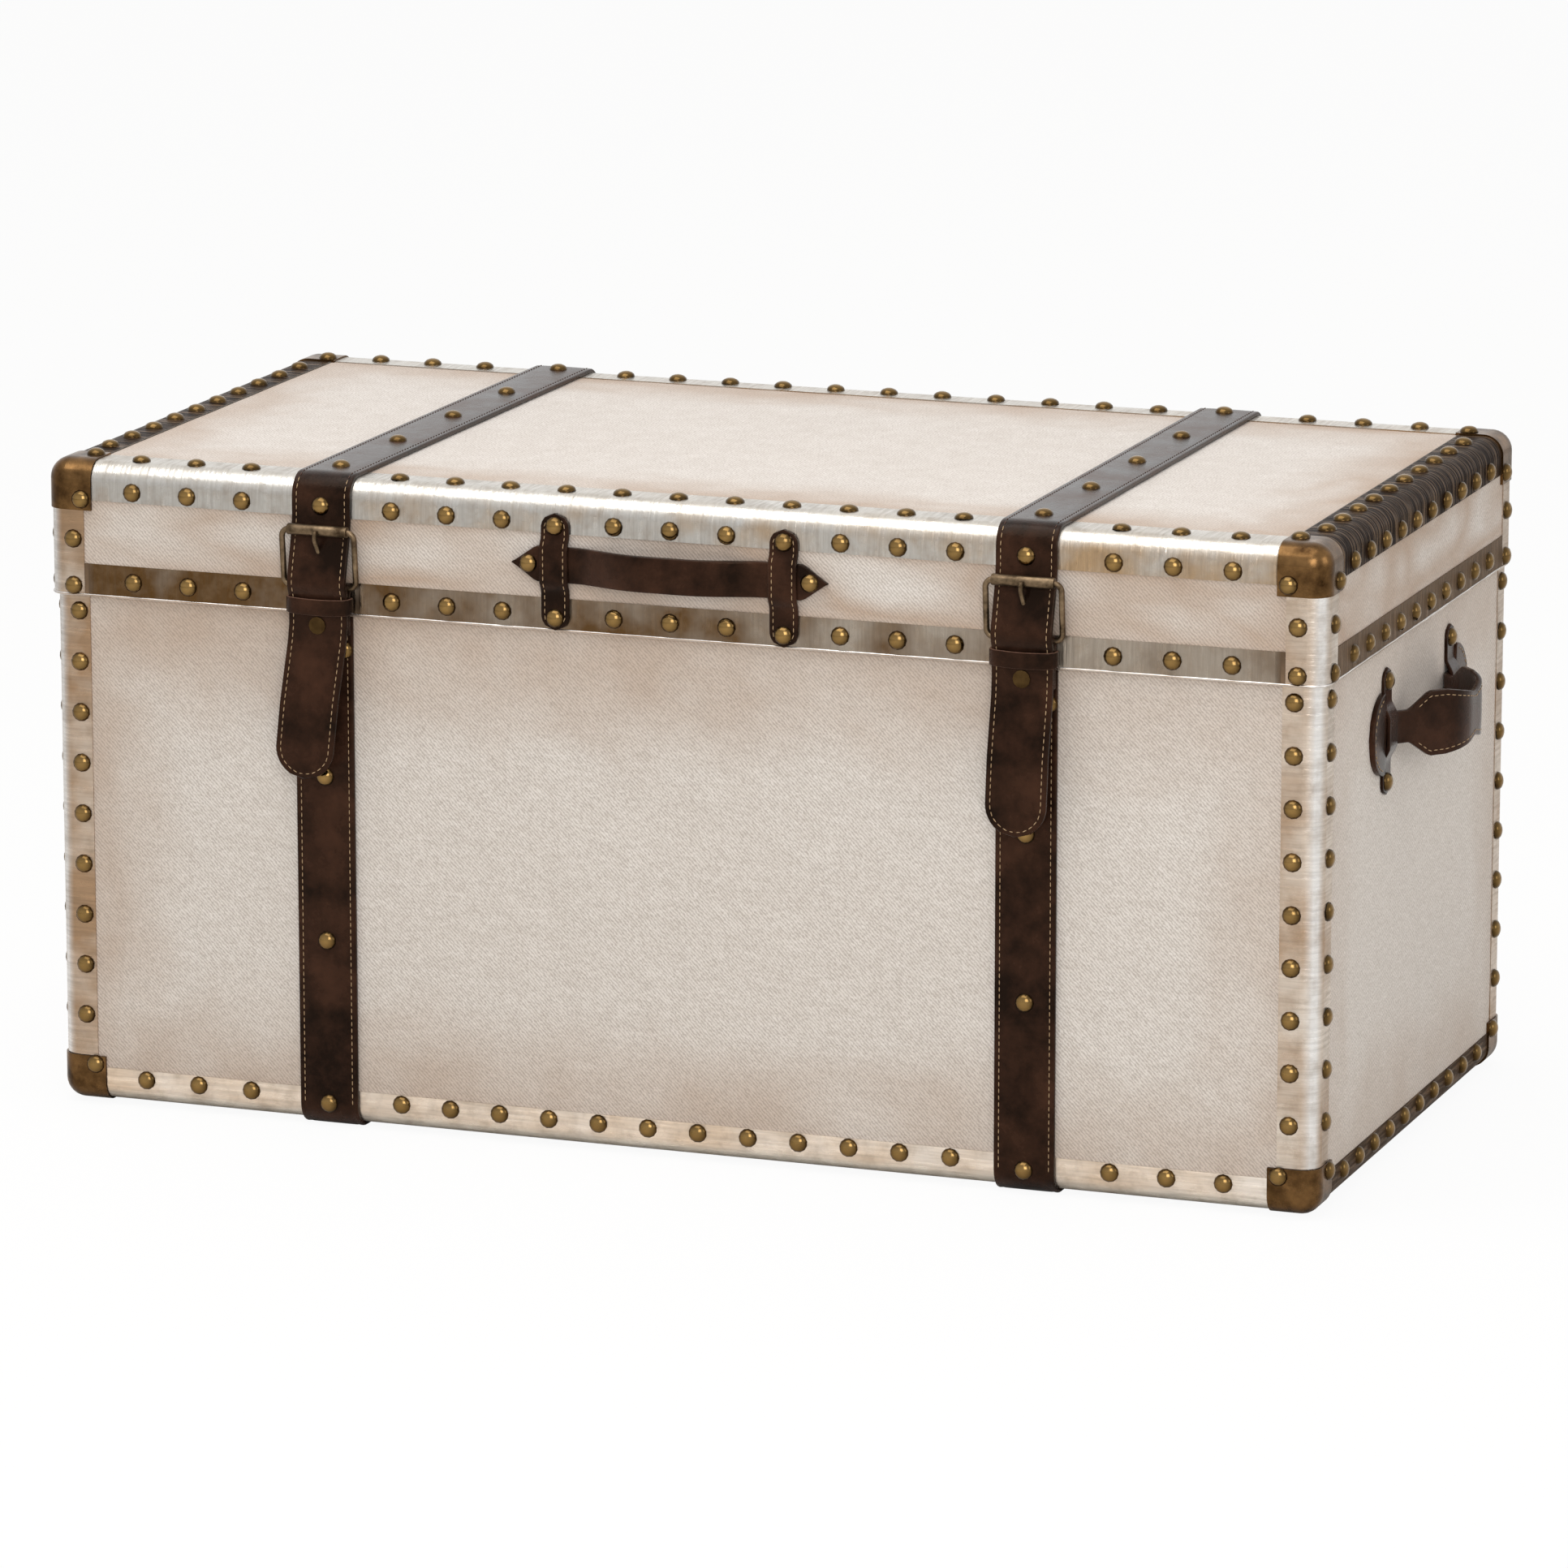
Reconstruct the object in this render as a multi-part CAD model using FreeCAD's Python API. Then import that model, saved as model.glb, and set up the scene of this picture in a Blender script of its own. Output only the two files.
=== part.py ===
import FreeCAD, Part
import math
import os

# A storage trunk: boards covered in canvas, edged with metal strip, with brass corner caps, dome nails,
# leather straps and handles. Millimetres, +Z up, the front faces -Y. It is drawn standing on its straps.

# The whole trunk, measured over the metal strips
trunk_length = 900.0
trunk_depth = 450.0
base_height = 352.0
lid_height = 92.0
lid_overhang = 2.5
seam_gap = 0.4

# Boards and what covers them
board_thickness = 12.0
bottom_board_thickness = 9.0
canvas_thickness = 0.8
lining_thickness = 0.6

# Room left at rounded edges, so that layers seat on their flat faces
curve_relief = 0.3
overrun = 5.0

# Flats that small round bars and bores are drawn with
round_sides = 12

# Metal edge strips and the band round the lid's rim
strip_thickness = 1.0
edge_radius = 13.0
corner_strip_leg = 27.0
top_strip_drop = 26.0
top_strip_leg = 31.0
bottom_strip_rise = 23.5
bottom_strip_leg = 26.0
rim_band_height = 22.5
strip_end_gap = 0.3

# Pressed corner caps
cap_thickness = 1.2
cap_leg = 33.0
cap_rise = 31.0

# Dome nails
nail_diameter = 12.0
nail_height = 4.0
nail_sides = 5
flange_nail_inset = 19.0
edge_nail_inset = 17.0
cap_nail_inset = 25.5
mid_bay_nail_margin = 28.5
mid_bay_nail_count = 11
bottom_bay_nail_margin = 31.0
bottom_bay_nail_count = 12
outer_bay_inner_margin = 37.5
outer_bay_outer_margin = 30.0
outer_bay_nail_count = 3
end_row_margin = 29.5
end_row_nail_count = 10
corner_row_cap_margin = 29.0
corner_row_rim_margin = 10.5
corner_row_nail_count = 9
lid_corner_rim_margin = 7.0
lid_corner_cap_margin = 20.0
lid_corner_nail_count = 2

# Leather straps
strap_width = 42.0
strap_thickness = 3.0
strap_spacing = 496.0
strap_rim_gap = 2.0
base_strap_front_gap = 0.4
strap_front_nail_inset = 33.0
strap_back_nail_inset = 22.0
strap_top_nail_count = 5
lid_strap_nail_drop = 18.0
base_strap_foot_nail_height = 17.0
base_strap_nail_drop = 111.0
base_strap_nail_count = 3
base_strap_pair_drop = 23.0
base_strap_pair_spread = 30.0

# The hanging flap: tongue, buckle, tab, keeper and snap
flap_axis_drop = 26.0
flap_axis_gap = 0.3
leather_clearance = 0.4
tongue_tail_length = 104.5
tongue_tip_out = 15.5
tongue_bow_out = 14.0
tongue_bow_share = 0.56
tongue_under_roller_out = 2.7
tongue_left_slant = 8.0
tongue_right_slant = 2.0
tongue_crest_out = 1.5
tongue_crest_rise = 2.5
tongue_bends = (20.0, 12.0, 12.0, 40.0, 60.0)
bar_height = 19.5
bar_out = 4.8
bar_spacing = 39.0
frame_width = 52.0
frame_wire = 4.0
frame_corner = 5.0
pivot_clearance = 0.1
roller_diameter = 7.6
roller_length = 43.0
prong_width = 4.0
prong_thickness = 2.4
prong_ring_wall = 1.7
prong_overhang = 2.0
prong_hole_width = 5.5
prong_hole_height = 15.0
tab_layer = 2.0
tab_tail = 32.0
tab_slot_width = 5.2
keeper_height = 11.0
keeper_lift = 2.0
keeper_wall = 2.0
keeper_corner = 2.5
snap_drop = 5.9
snap_cap_diameter = 12.0
snap_cap_thickness = 1.2
magnet_diameter = 9.0
magnet_thickness = 2.0
strike_thickness = 1.5

# The lid's front handle
front_handle_length = 222.0
front_handle_height = 24.0
front_handle_thickness = 4.0
front_handle_bend_reach = 8.5
front_handle_crest_share = 0.42
front_handle_bow = 12.0
front_handle_bends = (30.0, 75.0)
front_handle_point = 17.0
front_handle_nail_inset = 12.0
front_handle_drop = 46.5
loop_tip_inset = 30.5
loop_width = 20.0
loop_thickness = 2.5
loop_ramp = 6.0
loop_top_inset = 12.0
loop_rim_gap = 1.0
loop_nail_inset = 8.5

# The end handles
grip_reach = 41.5
grip_flat = 40.0
grip_thickness = 4.0
grip_root_spread = 128.0
grip_root_bend = 12.0
grip_bend = 26.0
grip_cut_spread = 108.0
grip_cut_gap = 0.3
grip_middle_height = 30.0
grip_shoulder_height = 44.0
grip_neck_height = 22.0
grip_shoulder_spread = 84.0
grip_shoulder_flat = 10.0
half_moon_radius = 28.0
bridge_spacing = 151.0
bridge_width = 18.0
bridge_thickness = 2.5
bridge_height = 86.0
bridge_ramp = 8.0
bridge_nail_inset = 9.0
end_handle_drop = 58.0

# Butt hinges at the back
hinge_length = 60.0
hinge_leaf_thickness = 2.0
hinge_base_leaf_height = 22.0
hinge_lid_leaf_height = 17.0
hinge_knuckle_diameter = 6.4
hinge_knuckle_count = 3
hinge_knuckle_gap = 0.3
hinge_pin_diameter = 3.0
hinge_pin_overhang = 1.0
screw_diameter = 7.0
screw_height = 1.5
screw_spacing = 20.0

# Folding lid stays on the inside of the end walls
stay_arm_length = 140.0
stay_fold_angle = 16.0
stay_arm_width = 16.0
stay_arm_thickness = 2.0
stay_layer_gap = 0.3
stay_pin_diameter = 6.0
stay_plate_length = 44.0
stay_plate_width = 20.0
stay_plate_thickness = 2.0
stay_screw_spacing = 30.0

# Planes that the pieces share
lid_half = trunk_length / 2
lid_front = -trunk_depth / 2
lid_back = trunk_depth / 2
base_half = lid_half - lid_overhang
base_front = lid_front + lid_overhang
base_back = lid_back
base_bottom = strap_thickness
base_rim = base_bottom + base_height
lid_rim = base_rim + seam_gap
lid_top = lid_rim + lid_height
wood_inset = strip_thickness + canvas_thickness
wall_inset = wood_inset + board_thickness
canvas_bevel = edge_radius - strip_thickness + curve_relief
wood_bevel = canvas_bevel - canvas_thickness * (2 - math.sqrt(2))
cap_radius = edge_radius + cap_thickness
base_middle = (base_front + base_back) / 2
strap_x = strap_spacing / 2
hinge_y = lid_back + seam_gap + hinge_knuckle_diameter / 2
hinge_z = (base_rim + lid_rim) / 2
hinge_x = (strap_x + strap_width / 2 + base_half - corner_strip_leg) / 2
flap_y = lid_front - strap_thickness / 2
flap_z = lid_top - flap_axis_drop
bar_y = lid_front - bar_out
bar_z = lid_rim + bar_height
tab_radius = frame_wire / 2 + pivot_clearance + tab_layer
tongue_roller_y = lid_front - tongue_under_roller_out
roller_y = tongue_roller_y - strap_thickness / 2 - leather_clearance - roller_diameter / 2
roller_z = bar_z + math.sqrt(bar_spacing ** 2 - (bar_y - roller_y) ** 2)
tongue_bar_y = bar_y - tab_radius - leather_clearance - strap_thickness / 2
tongue_keeper_y = bar_y - tab_layer - leather_clearance / 2 - strap_thickness / 2
keeper_z = lid_rim + keeper_lift
snap_z = lid_rim - snap_drop
tongue_tip_height = snap_z - tongue_tail_length
loop_spacing = front_handle_length - 2 * loop_tip_inset
end_handle_height = base_rim - end_handle_drop
end_wall_x = base_half - strip_thickness
grip_root_x = end_wall_x + grip_thickness / 2
grip_apex_x = end_wall_x + grip_reach - grip_thickness / 2
grip_cut_share = (grip_root_spread - grip_cut_spread) / (grip_root_spread - grip_flat)
grip_axis_x = grip_root_x + (grip_apex_x - grip_root_x) * grip_cut_share

UP = FreeCAD.Vector(0, 0, 1)
BACK = FreeCAD.Vector(0, 1, 0)
RIGHT = FreeCAD.Vector(1, 0, 0)
ORIGIN = FreeCAD.Vector(0, 0, 0)


def at(x, y, z):
    return FreeCAD.Vector(x, y, z)


def box(x0, x1, y0, y1, z0, z1):
    return Part.makeBox(x1 - x0, y1 - y0, z1 - z0, at(x0, y0, z0))


def plate(points, along):
    """A flat piece with straight sides, as thick as the vector along is long."""
    return Part.Face(Part.makePolygon(points + points[:1])).extrude(along)


def rod(radius, start, end):
    """A small level round bar, drawn with flats between corners that lie on the radius."""
    sideways = (end - start).normalize().cross(UP)
    turns = [2 * math.pi * i / round_sides for i in range(round_sides)]
    corners = [start + (UP * math.cos(turn) + sideways * math.sin(turn)) * radius for turn in turns]
    return plate(corners, end - start)


def bore(radius, start, end):
    """The hole that a round bar of this radius can turn in: its flats lie on the radius."""
    return rod(radius / math.cos(math.pi / round_sides), start, end)


def corner_arc(before, corner, after, radius):
    """The arc that rounds a corner: its first, middle and last points."""
    to_before = (before - corner).normalize()
    to_after = (after - corner).normalize()
    half_angle = to_before.getAngle(to_after) / 2
    reach = radius / math.tan(half_angle)
    inward = (to_before + to_after).normalize()
    middle = corner + inward * (radius / math.sin(half_angle) - radius)
    return corner + to_before * reach, middle, corner + to_after * reach


def rounded_line(points, radii):
    """Straight runs through the points, with an arc at each inner point if radii are given."""
    if not radii:
        return [Part.LineSegment(a, b).toShape() for a, b in zip(points, points[1:])]
    edges = []
    start = points[0]
    for i, radius in enumerate(radii, 1):
        first, middle, last = corner_arc(points[i - 1], points[i], points[i + 1], radius)
        edges.append(Part.LineSegment(start, first).toShape())
        edges.append(Part.Arc(first, middle, last).toShape())
        start = last
    edges.append(Part.LineSegment(start, points[-1]).toShape())
    return edges


def beside(points, normal, distance):
    """The points of the line that runs parallel, on the left as seen against the normal."""
    lefts = [normal.cross((b - a).normalize()) for a, b in zip(points, points[1:])]
    firsts = lefts[:1] + lefts
    seconds = lefts + lefts[-1:]
    moved = []
    for point, first, second in zip(points, firsts, seconds):
        moved.append(point + (first + second) * (distance / (1 + first.dot(second))))
    return moved


def strap(points, radii, thickness, across):
    """A flat strap that follows a centre line, as wide as the vector across is long."""
    normal = FreeCAD.Vector(across).normalize()
    turns = []
    for a, b, c in zip(points, points[1:], points[2:]):
        turns.append(math.copysign(1, normal.dot((b - a).cross(c - b))))
    near = beside(points, normal, thickness / 2)
    far = beside(points, normal, -thickness / 2)
    near_radii = [r - turn * thickness / 2 for r, turn in zip(radii, turns)]
    far_radii = [r + turn * thickness / 2 for r, turn in zip(radii, turns)]
    edges = rounded_line(near, near_radii)
    edges.append(Part.LineSegment(near[-1], far[-1]).toShape())
    edges += rounded_line(far[::-1], far_radii[::-1])
    edges.append(Part.LineSegment(far[0], near[0]).toShape())
    return Part.Face(Part.Wire(edges)).extrude(across)


def closed_edges(block, rim_z):
    """The edges of a box that is open at its rim: all but the four round the rim."""
    return [e for e in block.Edges if abs(e.CenterOfMass.z - rim_z) > edge_radius]


def base_box(inset):
    return box(inset - base_half, base_half - inset, base_front + inset, base_back - inset,
               base_bottom + inset, base_rim)


def lid_box(inset):
    return box(inset - lid_half, lid_half - inset, lid_front + inset, lid_back - inset,
               lid_rim, lid_top - inset)


def bevelled(block, rim_z, bevel):
    return block.makeChamfer(bevel, closed_edges(block, rim_z))


def rounded(block, rim_z, radius):
    return block.makeFillet(radius, closed_edges(block, rim_z))


def base_canvas_block():
    return bevelled(base_box(strip_thickness), base_rim, canvas_bevel)


def lid_canvas_block():
    return bevelled(lid_box(strip_thickness), lid_rim, canvas_bevel)


def base_wood_block():
    return bevelled(base_box(wood_inset), base_rim, wood_bevel)


def lid_wood_block():
    return bevelled(lid_box(wood_inset), lid_rim, wood_bevel)


def both_sides(shape):
    """The piece and its mirror image on the other side of the trunk."""
    return [shape, shape.mirror(ORIGIN, RIGHT)]


def front_and_back(shape, middle):
    return [shape, shape.mirror(at(0, middle, 0), BACK)]


def four_corners(shape, middle):
    return [copy for side in both_sides(shape) for copy in front_and_back(side, middle)]


def walls(block, half, front, back, low, high):
    """Front, back and end boards of a box, cut from one block and butted at the corners."""
    inner_half = half - wall_inset
    inner_front = front + wall_inset
    inner_back = back - wall_inset
    front_board = block.common(box(-half, half, front, inner_front, low, high))
    back_board = block.common(box(-half, half, inner_back, back, low, high))
    end_board = block.common(box(inner_half, half, inner_front, inner_back, low, high))
    return front_board, back_board, both_sides(end_board)


def tray(half, front, back, low, high, floor_z):
    """Thin lining of a box: four walls and the face at floor_z."""
    thin = lining_thickness
    outer = box(-half, half, front, back, low, high)
    inner_low = low + thin if floor_z == low else low
    inner_high = high - thin if floor_z == high else high
    return outer.cut(box(-half + thin, half - thin, front + thin, back - thin, inner_low, inner_high))


def base_boards():
    wood = base_wood_block()
    floor = base_bottom + wood_inset + bottom_board_thickness
    front, back, ends = walls(wood, base_half, base_front, base_back, floor, base_rim)
    bottom = wood.common(box(-base_half, base_half, base_front, base_back, base_bottom, floor))
    lining = tray(base_half - wall_inset, base_front + wall_inset, base_back - wall_inset,
                  floor, base_rim, floor)
    return {"base_front_panel": front, "base_back_panel": back, "base_end_panels": Part.makeCompound(ends),
            "base_bottom_panel": bottom, "base_lining": lining}


def lid_boards():
    wood = lid_wood_block()
    ceiling = lid_top - wall_inset
    front, back, ends = walls(wood, lid_half, lid_front, lid_back, lid_rim, ceiling)
    top = wood.common(box(-lid_half, lid_half, lid_front, lid_back, ceiling, lid_top))
    lining = tray(lid_half - wall_inset, lid_front + wall_inset, lid_back - wall_inset,
                  lid_rim, ceiling, ceiling)
    return {"lid_front_panel": front, "lid_back_panel": back, "lid_end_panels": Part.makeCompound(ends),
            "lid_top_panel": top, "lid_lining": lining}


def canvas():
    return {"base_canvas": base_canvas_block().cut(base_wood_block()),
            "lid_canvas": lid_canvas_block().cut(lid_wood_block())}


def angle_strip(first, corner, last, along):
    """A rounded angle strip. The three points lie on its outside, with the sharp corner between."""
    normal = FreeCAD.Vector(along).normalize()
    turn = math.copysign(1, normal.dot((corner - first).cross(last - corner)))
    centre = beside([first, corner, last], normal, turn * strip_thickness / 2)
    return strap(centre, [edge_radius - strip_thickness / 2], strip_thickness, along)


def edge_strips(half, front, middle, edge, flat_z, leg):
    """The four strips round the closed end of a box, which stop short of the corner caps."""
    inset = cap_leg + strip_end_gap
    run = half - inset
    corner = at(-run, front, edge)
    long_strip = angle_strip(at(-run, front, flat_z), corner, at(-run, front + leg, edge), RIGHT * (2 * run))
    start = front + inset
    depth = 2 * (middle - start)
    corner = at(half, start, edge)
    end_strip = angle_strip(at(half, start, flat_z), corner, at(half - leg, start, edge), BACK * depth)
    return Part.makeCompound(front_and_back(long_strip, middle) + both_sides(end_strip))


def corner_strips(half, front, middle, low, high):
    corner = at(half, front, low)
    leg_x = at(half - corner_strip_leg, front, low)
    leg_y = at(half, front + corner_strip_leg, low)
    return Part.makeCompound(four_corners(angle_strip(leg_x, corner, leg_y, UP * (high - low)), middle))


def rim_bands():
    top = lid_rim + rim_band_height
    run = lid_half - corner_strip_leg - strip_end_gap
    front = box(-run, run, lid_front, lid_front + strip_thickness, lid_rim, top)
    start = lid_front + corner_strip_leg + strip_end_gap
    end = box(lid_half - strip_thickness, lid_half, start, -start, lid_rim, top)
    return Part.makeCompound(front_and_back(front, 0) + both_sides(end))


def metal_strips():
    base_low = base_bottom + cap_rise + strip_end_gap
    lid_high = lid_top - cap_leg - strip_end_gap
    return {
        "base_bottom_strips": edge_strips(base_half, base_front, base_middle, base_bottom,
                                          base_bottom + bottom_strip_rise, bottom_strip_leg),
        "lid_top_strips": edge_strips(lid_half, lid_front, 0, lid_top,
                                      lid_top - top_strip_drop, top_strip_leg),
        "base_corner_strips": corner_strips(base_half, base_front, base_middle, base_low, base_rim),
        "lid_corner_strips": corner_strips(lid_half, lid_front, 0, lid_rim, lid_high),
        "lid_rim_bands": rim_bands(),
    }


def corner_caps():
    """Pressed caps that wrap the eight corners on the canvas, between the strip ends."""
    base_shell = rounded(base_box(-cap_thickness), base_rim, cap_radius).cut(base_canvas_block())
    base_corner = box(base_half - cap_leg, base_half + overrun, base_front - overrun, base_front + cap_leg,
                      base_bottom - overrun, base_bottom + cap_rise)
    lid_shell = rounded(lid_box(-cap_thickness), lid_rim, cap_radius).cut(lid_canvas_block())
    lid_corner = box(lid_half - cap_leg, lid_half + overrun, lid_front - overrun, lid_front + cap_leg,
                     lid_top - cap_leg, lid_top + overrun)
    return {
        "base_corner_caps": Part.makeCompound(four_corners(base_shell.common(base_corner), base_middle)),
        "lid_corner_caps": Part.makeCompound(four_corners(lid_shell.common(lid_corner), 0)),
    }


def faceted_head(diameter, height, place, outward):
    """A raised head with flat facets, seated at a place and facing outward."""
    turns = [2 * math.pi * i / nail_sides for i in range(nail_sides)]
    seat = [at(diameter / 2 * math.cos(turn), diameter / 2 * math.sin(turn), 0) for turn in turns]
    crown = at(0, 0, height)
    outlines = [[seat[i - 1], seat[i], crown] for i in range(nail_sides)] + [seat]
    faces = [Part.Face(Part.makePolygon(outline + outline[:1])) for outline in outlines]
    head = Part.Solid(Part.Shell(faces))
    head.Placement = FreeCAD.Placement(place, FreeCAD.Rotation(UP, outward))
    return head


def nail(place, outward):
    return faceted_head(nail_diameter, nail_height, place, outward)


def spaced(first, last, count):
    return [first + (last - first) * i / (count - 1) for i in range(count)]


def long_row(half, mid_margin, mid_count):
    """Places along the length: the bay between the straps and the two bays outside them."""
    mid_end = strap_x - strap_width / 2 - mid_margin
    outer = spaced(strap_x + strap_width / 2 + outer_bay_inner_margin,
                   half - cap_leg - outer_bay_outer_margin, outer_bay_nail_count)
    return [-x for x in outer] + spaced(-mid_end, mid_end, mid_count) + outer


def end_row(front, back):
    inset = cap_leg + end_row_margin
    return spaced(front + inset, back - inset, end_row_nail_count)


def clear_of(places, spans):
    return [x for x in places if all(abs(abs(x) - middle) > reach for middle, reach in spans)]


def base_strip_nails():
    nails = []
    bottom_z = base_bottom + edge_nail_inset
    for x in long_row(base_half, bottom_bay_nail_margin, bottom_bay_nail_count):
        nails += front_and_back(nail(at(x, base_front, bottom_z), -BACK), base_middle)
    for y in end_row(base_front, base_back):
        nails += both_sides(nail(at(base_half, y, bottom_z), RIGHT))
    for z in spaced(base_bottom + cap_rise + corner_row_cap_margin, base_rim - corner_row_rim_margin,
                    corner_row_nail_count):
        nails += four_corners(nail(at(base_half - flange_nail_inset, base_front, z), -BACK), base_middle)
        nails += four_corners(nail(at(base_half, base_front + flange_nail_inset, z), RIGHT), base_middle)
    cap_z = base_bottom + cap_nail_inset
    cap_face = base_front - cap_thickness
    nails += four_corners(nail(at(base_half - cap_nail_inset, cap_face, cap_z), -BACK), base_middle)
    cap_end = base_half + cap_thickness
    nails += four_corners(nail(at(cap_end, base_front + cap_nail_inset, cap_z), RIGHT), base_middle)
    return Part.makeCompound(nails)


def lid_strip_nails():
    nails = []
    flange_z = lid_top - flange_nail_inset
    band_z = lid_rim + rim_band_height / 2
    row = long_row(lid_half, mid_bay_nail_margin, mid_bay_nail_count)
    front_row = clear_of(row, [(loop_spacing / 2, loop_width / 2)])
    hinge_reach = hinge_length / 2 + nail_diameter
    back_band_row = clear_of(row, [(hinge_x, hinge_reach)])
    nails += [nail(at(x, lid_front, z), -BACK) for x in front_row for z in (flange_z, band_z)]
    nails += [nail(at(x, lid_back, flange_z), BACK) for x in row]
    nails += [nail(at(x, lid_back, band_z), BACK) for x in back_band_row]
    for x in row:
        nails += front_and_back(nail(at(x, lid_front + edge_nail_inset, lid_top), UP), 0)
    for y in end_row(lid_front, lid_back):
        nails += both_sides(nail(at(lid_half - flange_nail_inset, y, lid_top), UP))
        nails += both_sides(nail(at(lid_half, y, flange_z), RIGHT))
        nails += both_sides(nail(at(lid_half, y, band_z), RIGHT))
    for z in spaced(lid_rim + lid_corner_rim_margin, lid_top - cap_leg - lid_corner_cap_margin,
                    lid_corner_nail_count):
        nails += four_corners(nail(at(lid_half - flange_nail_inset, lid_front, z), -BACK), 0)
        nails += four_corners(nail(at(lid_half, lid_front + flange_nail_inset, z), RIGHT), 0)
    near_x = lid_half - cap_nail_inset
    near_y = lid_front + cap_nail_inset
    near_z = lid_top - cap_nail_inset
    nails += four_corners(nail(at(near_x, lid_front - cap_thickness, near_z), -BACK), 0)
    nails += four_corners(nail(at(lid_half + cap_thickness, near_y, near_z), RIGHT), 0)
    nails += four_corners(nail(at(near_x, near_y, lid_top + cap_thickness), UP), 0)
    return Part.makeCompound(nails)


def lid_strap(x):
    """Over the lid: from the flap's fold up the front, along the top and down the back."""
    half = strap_thickness / 2
    start = x - strap_width / 2
    points = [at(start, lid_front - half, flap_z + half + flap_axis_gap),
              at(start, lid_front - half, lid_top + half),
              at(start, lid_back + half, lid_top + half),
              at(start, lid_back + half, lid_rim + strap_rim_gap)]
    bend = edge_radius - curve_relief + half
    return strap(points, [bend, bend], strap_thickness, RIGHT * strap_width)


def base_strap(x):
    """Round the base: down the front, under the bottom and up the back, with a pocket for the strike."""
    half = strap_thickness / 2
    start = x - strap_width / 2
    points = [at(start, base_front - half, base_rim - base_strap_front_gap),
              at(start, base_front - half, base_bottom - half),
              at(start, base_back + half, base_bottom - half),
              at(start, base_back + half, base_rim - strap_rim_gap)]
    bend = edge_radius - curve_relief + half
    band = strap(points, [bend, bend], strap_thickness, RIGHT * strap_width)
    face = at(x, base_front - strap_thickness, snap_z)
    pocket_radius = magnet_diameter / 2 + pivot_clearance
    return band.cut(bore(pocket_radius, face - BACK * overrun, face + BACK * strike_thickness))


def strike(x):
    face = at(x, base_front - strap_thickness, snap_z)
    return rod(magnet_diameter / 2, face, face + BACK * strike_thickness)


def tongue_line(x):
    """Centre line of the hanging tongue: under the roller, over the tab, through the keeper, to the tip."""
    below_snap = snap_z - snap_cap_diameter
    bow_z = tongue_tip_height + (below_snap - tongue_tip_height) * tongue_bow_share
    return [at(x, flap_y, flap_z),
            at(x, tongue_roller_y, roller_z - strap_thickness / 2),
            at(x, tongue_bar_y - tongue_crest_out, bar_z + tongue_crest_rise),
            at(x, tongue_keeper_y, keeper_z + keeper_height),
            at(x, tongue_keeper_y, below_snap),
            at(x, lid_front - tongue_bow_out, bow_z),
            at(x, lid_front - tongue_tip_out, tongue_tip_height)]


def tongue_outline(x, slant):
    """Front outline of the tongue, with a round tip that hangs a little to the left."""
    half = strap_width / 2
    fold = flap_z + strap_thickness / 2
    tip_x = x - slant
    shoulder = tongue_tip_height + half
    levels = [(x, fold), (x, snap_z), (tip_x, shoulder)]
    right = [at(middle + half, lid_front, z) for middle, z in levels]
    left = [at(middle - half, lid_front, z) for middle, z in levels]
    tip = Part.Arc(right[-1], at(tip_x, lid_front, tongue_tip_height), left[-1])
    edges = [tip.toShape()] + rounded_line(right, []) + rounded_line(left, [])
    edges += rounded_line([left[0], right[0]], [])
    depth = tongue_tip_out + overrun
    return Part.Face(Part.Wire(Part.__sortEdges__(edges))).extrude(-BACK * depth)


def tongue(x, slant):
    spare = strap_width / 2 + slant
    blank = strap(tongue_line(x - spare), tongue_bends, strap_thickness, RIGHT * (2 * spare))
    fold = rod(strap_thickness / 2, at(x - spare, flap_y, flap_z), at(x + spare, flap_y, flap_z))
    leather = blank.fuse(fold).common(tongue_outline(x, slant))
    prong_rise = (roller_z - bar_z) * prong_cross_share()
    hole_z = bar_z + prong_rise
    depth = tongue_tip_out + overrun
    hole = box(x - prong_hole_width / 2, x + prong_hole_width / 2, lid_front - depth, lid_front,
               hole_z - prong_hole_height / 2, hole_z + prong_hole_height / 2)
    return leather.removeSplitter().cut(hole)


def prong_tip():
    return at(0, roller_y - roller_diameter / 2 - leather_clearance - prong_thickness / 2, roller_z)


def prong_cross_share():
    """Where the prong goes through the tongue, as a share of its way from the bar to the roller."""
    gap_at_bar = bar_y - (tongue_bar_y - tongue_crest_out)
    gap_at_roller = tongue_roller_y - prong_tip().y
    return gap_at_bar / (gap_at_bar + gap_at_roller)


def buckle_frame(x):
    """A frame with round corners: two flat sides, a round bottom bar in the tab and a round top bar."""
    half = frame_width / 2
    wire = frame_wire / 2
    sides = box(-half - wire, half + wire, -wire, bar_spacing + wire, -wire, wire)
    upright = [e for e in sides.Edges if e.BoundBox.ZLength > wire]
    sides = sides.makeFillet(frame_corner, upright)
    window = box(wire - half, half - wire, -overrun, bar_spacing + overrun, -overrun, overrun)
    bars = [rod(wire, at(-half, y, 0), at(half, y, 0)) for y in (0, bar_spacing)]
    frame = sides.cut(window).fuse(bars)
    lean = FreeCAD.Rotation(BACK, at(0, roller_y - bar_y, roller_z - bar_z))
    frame.Placement = FreeCAD.Placement(at(x, bar_y, bar_z), lean)
    return frame


def roller(x):
    half = roller_length / 2
    ends = at(x - half, roller_y, roller_z), at(x + half, roller_y, roller_z)
    return rod(roller_diameter / 2, *ends).cut(bore(frame_wire / 2 + pivot_clearance, *ends))


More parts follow.
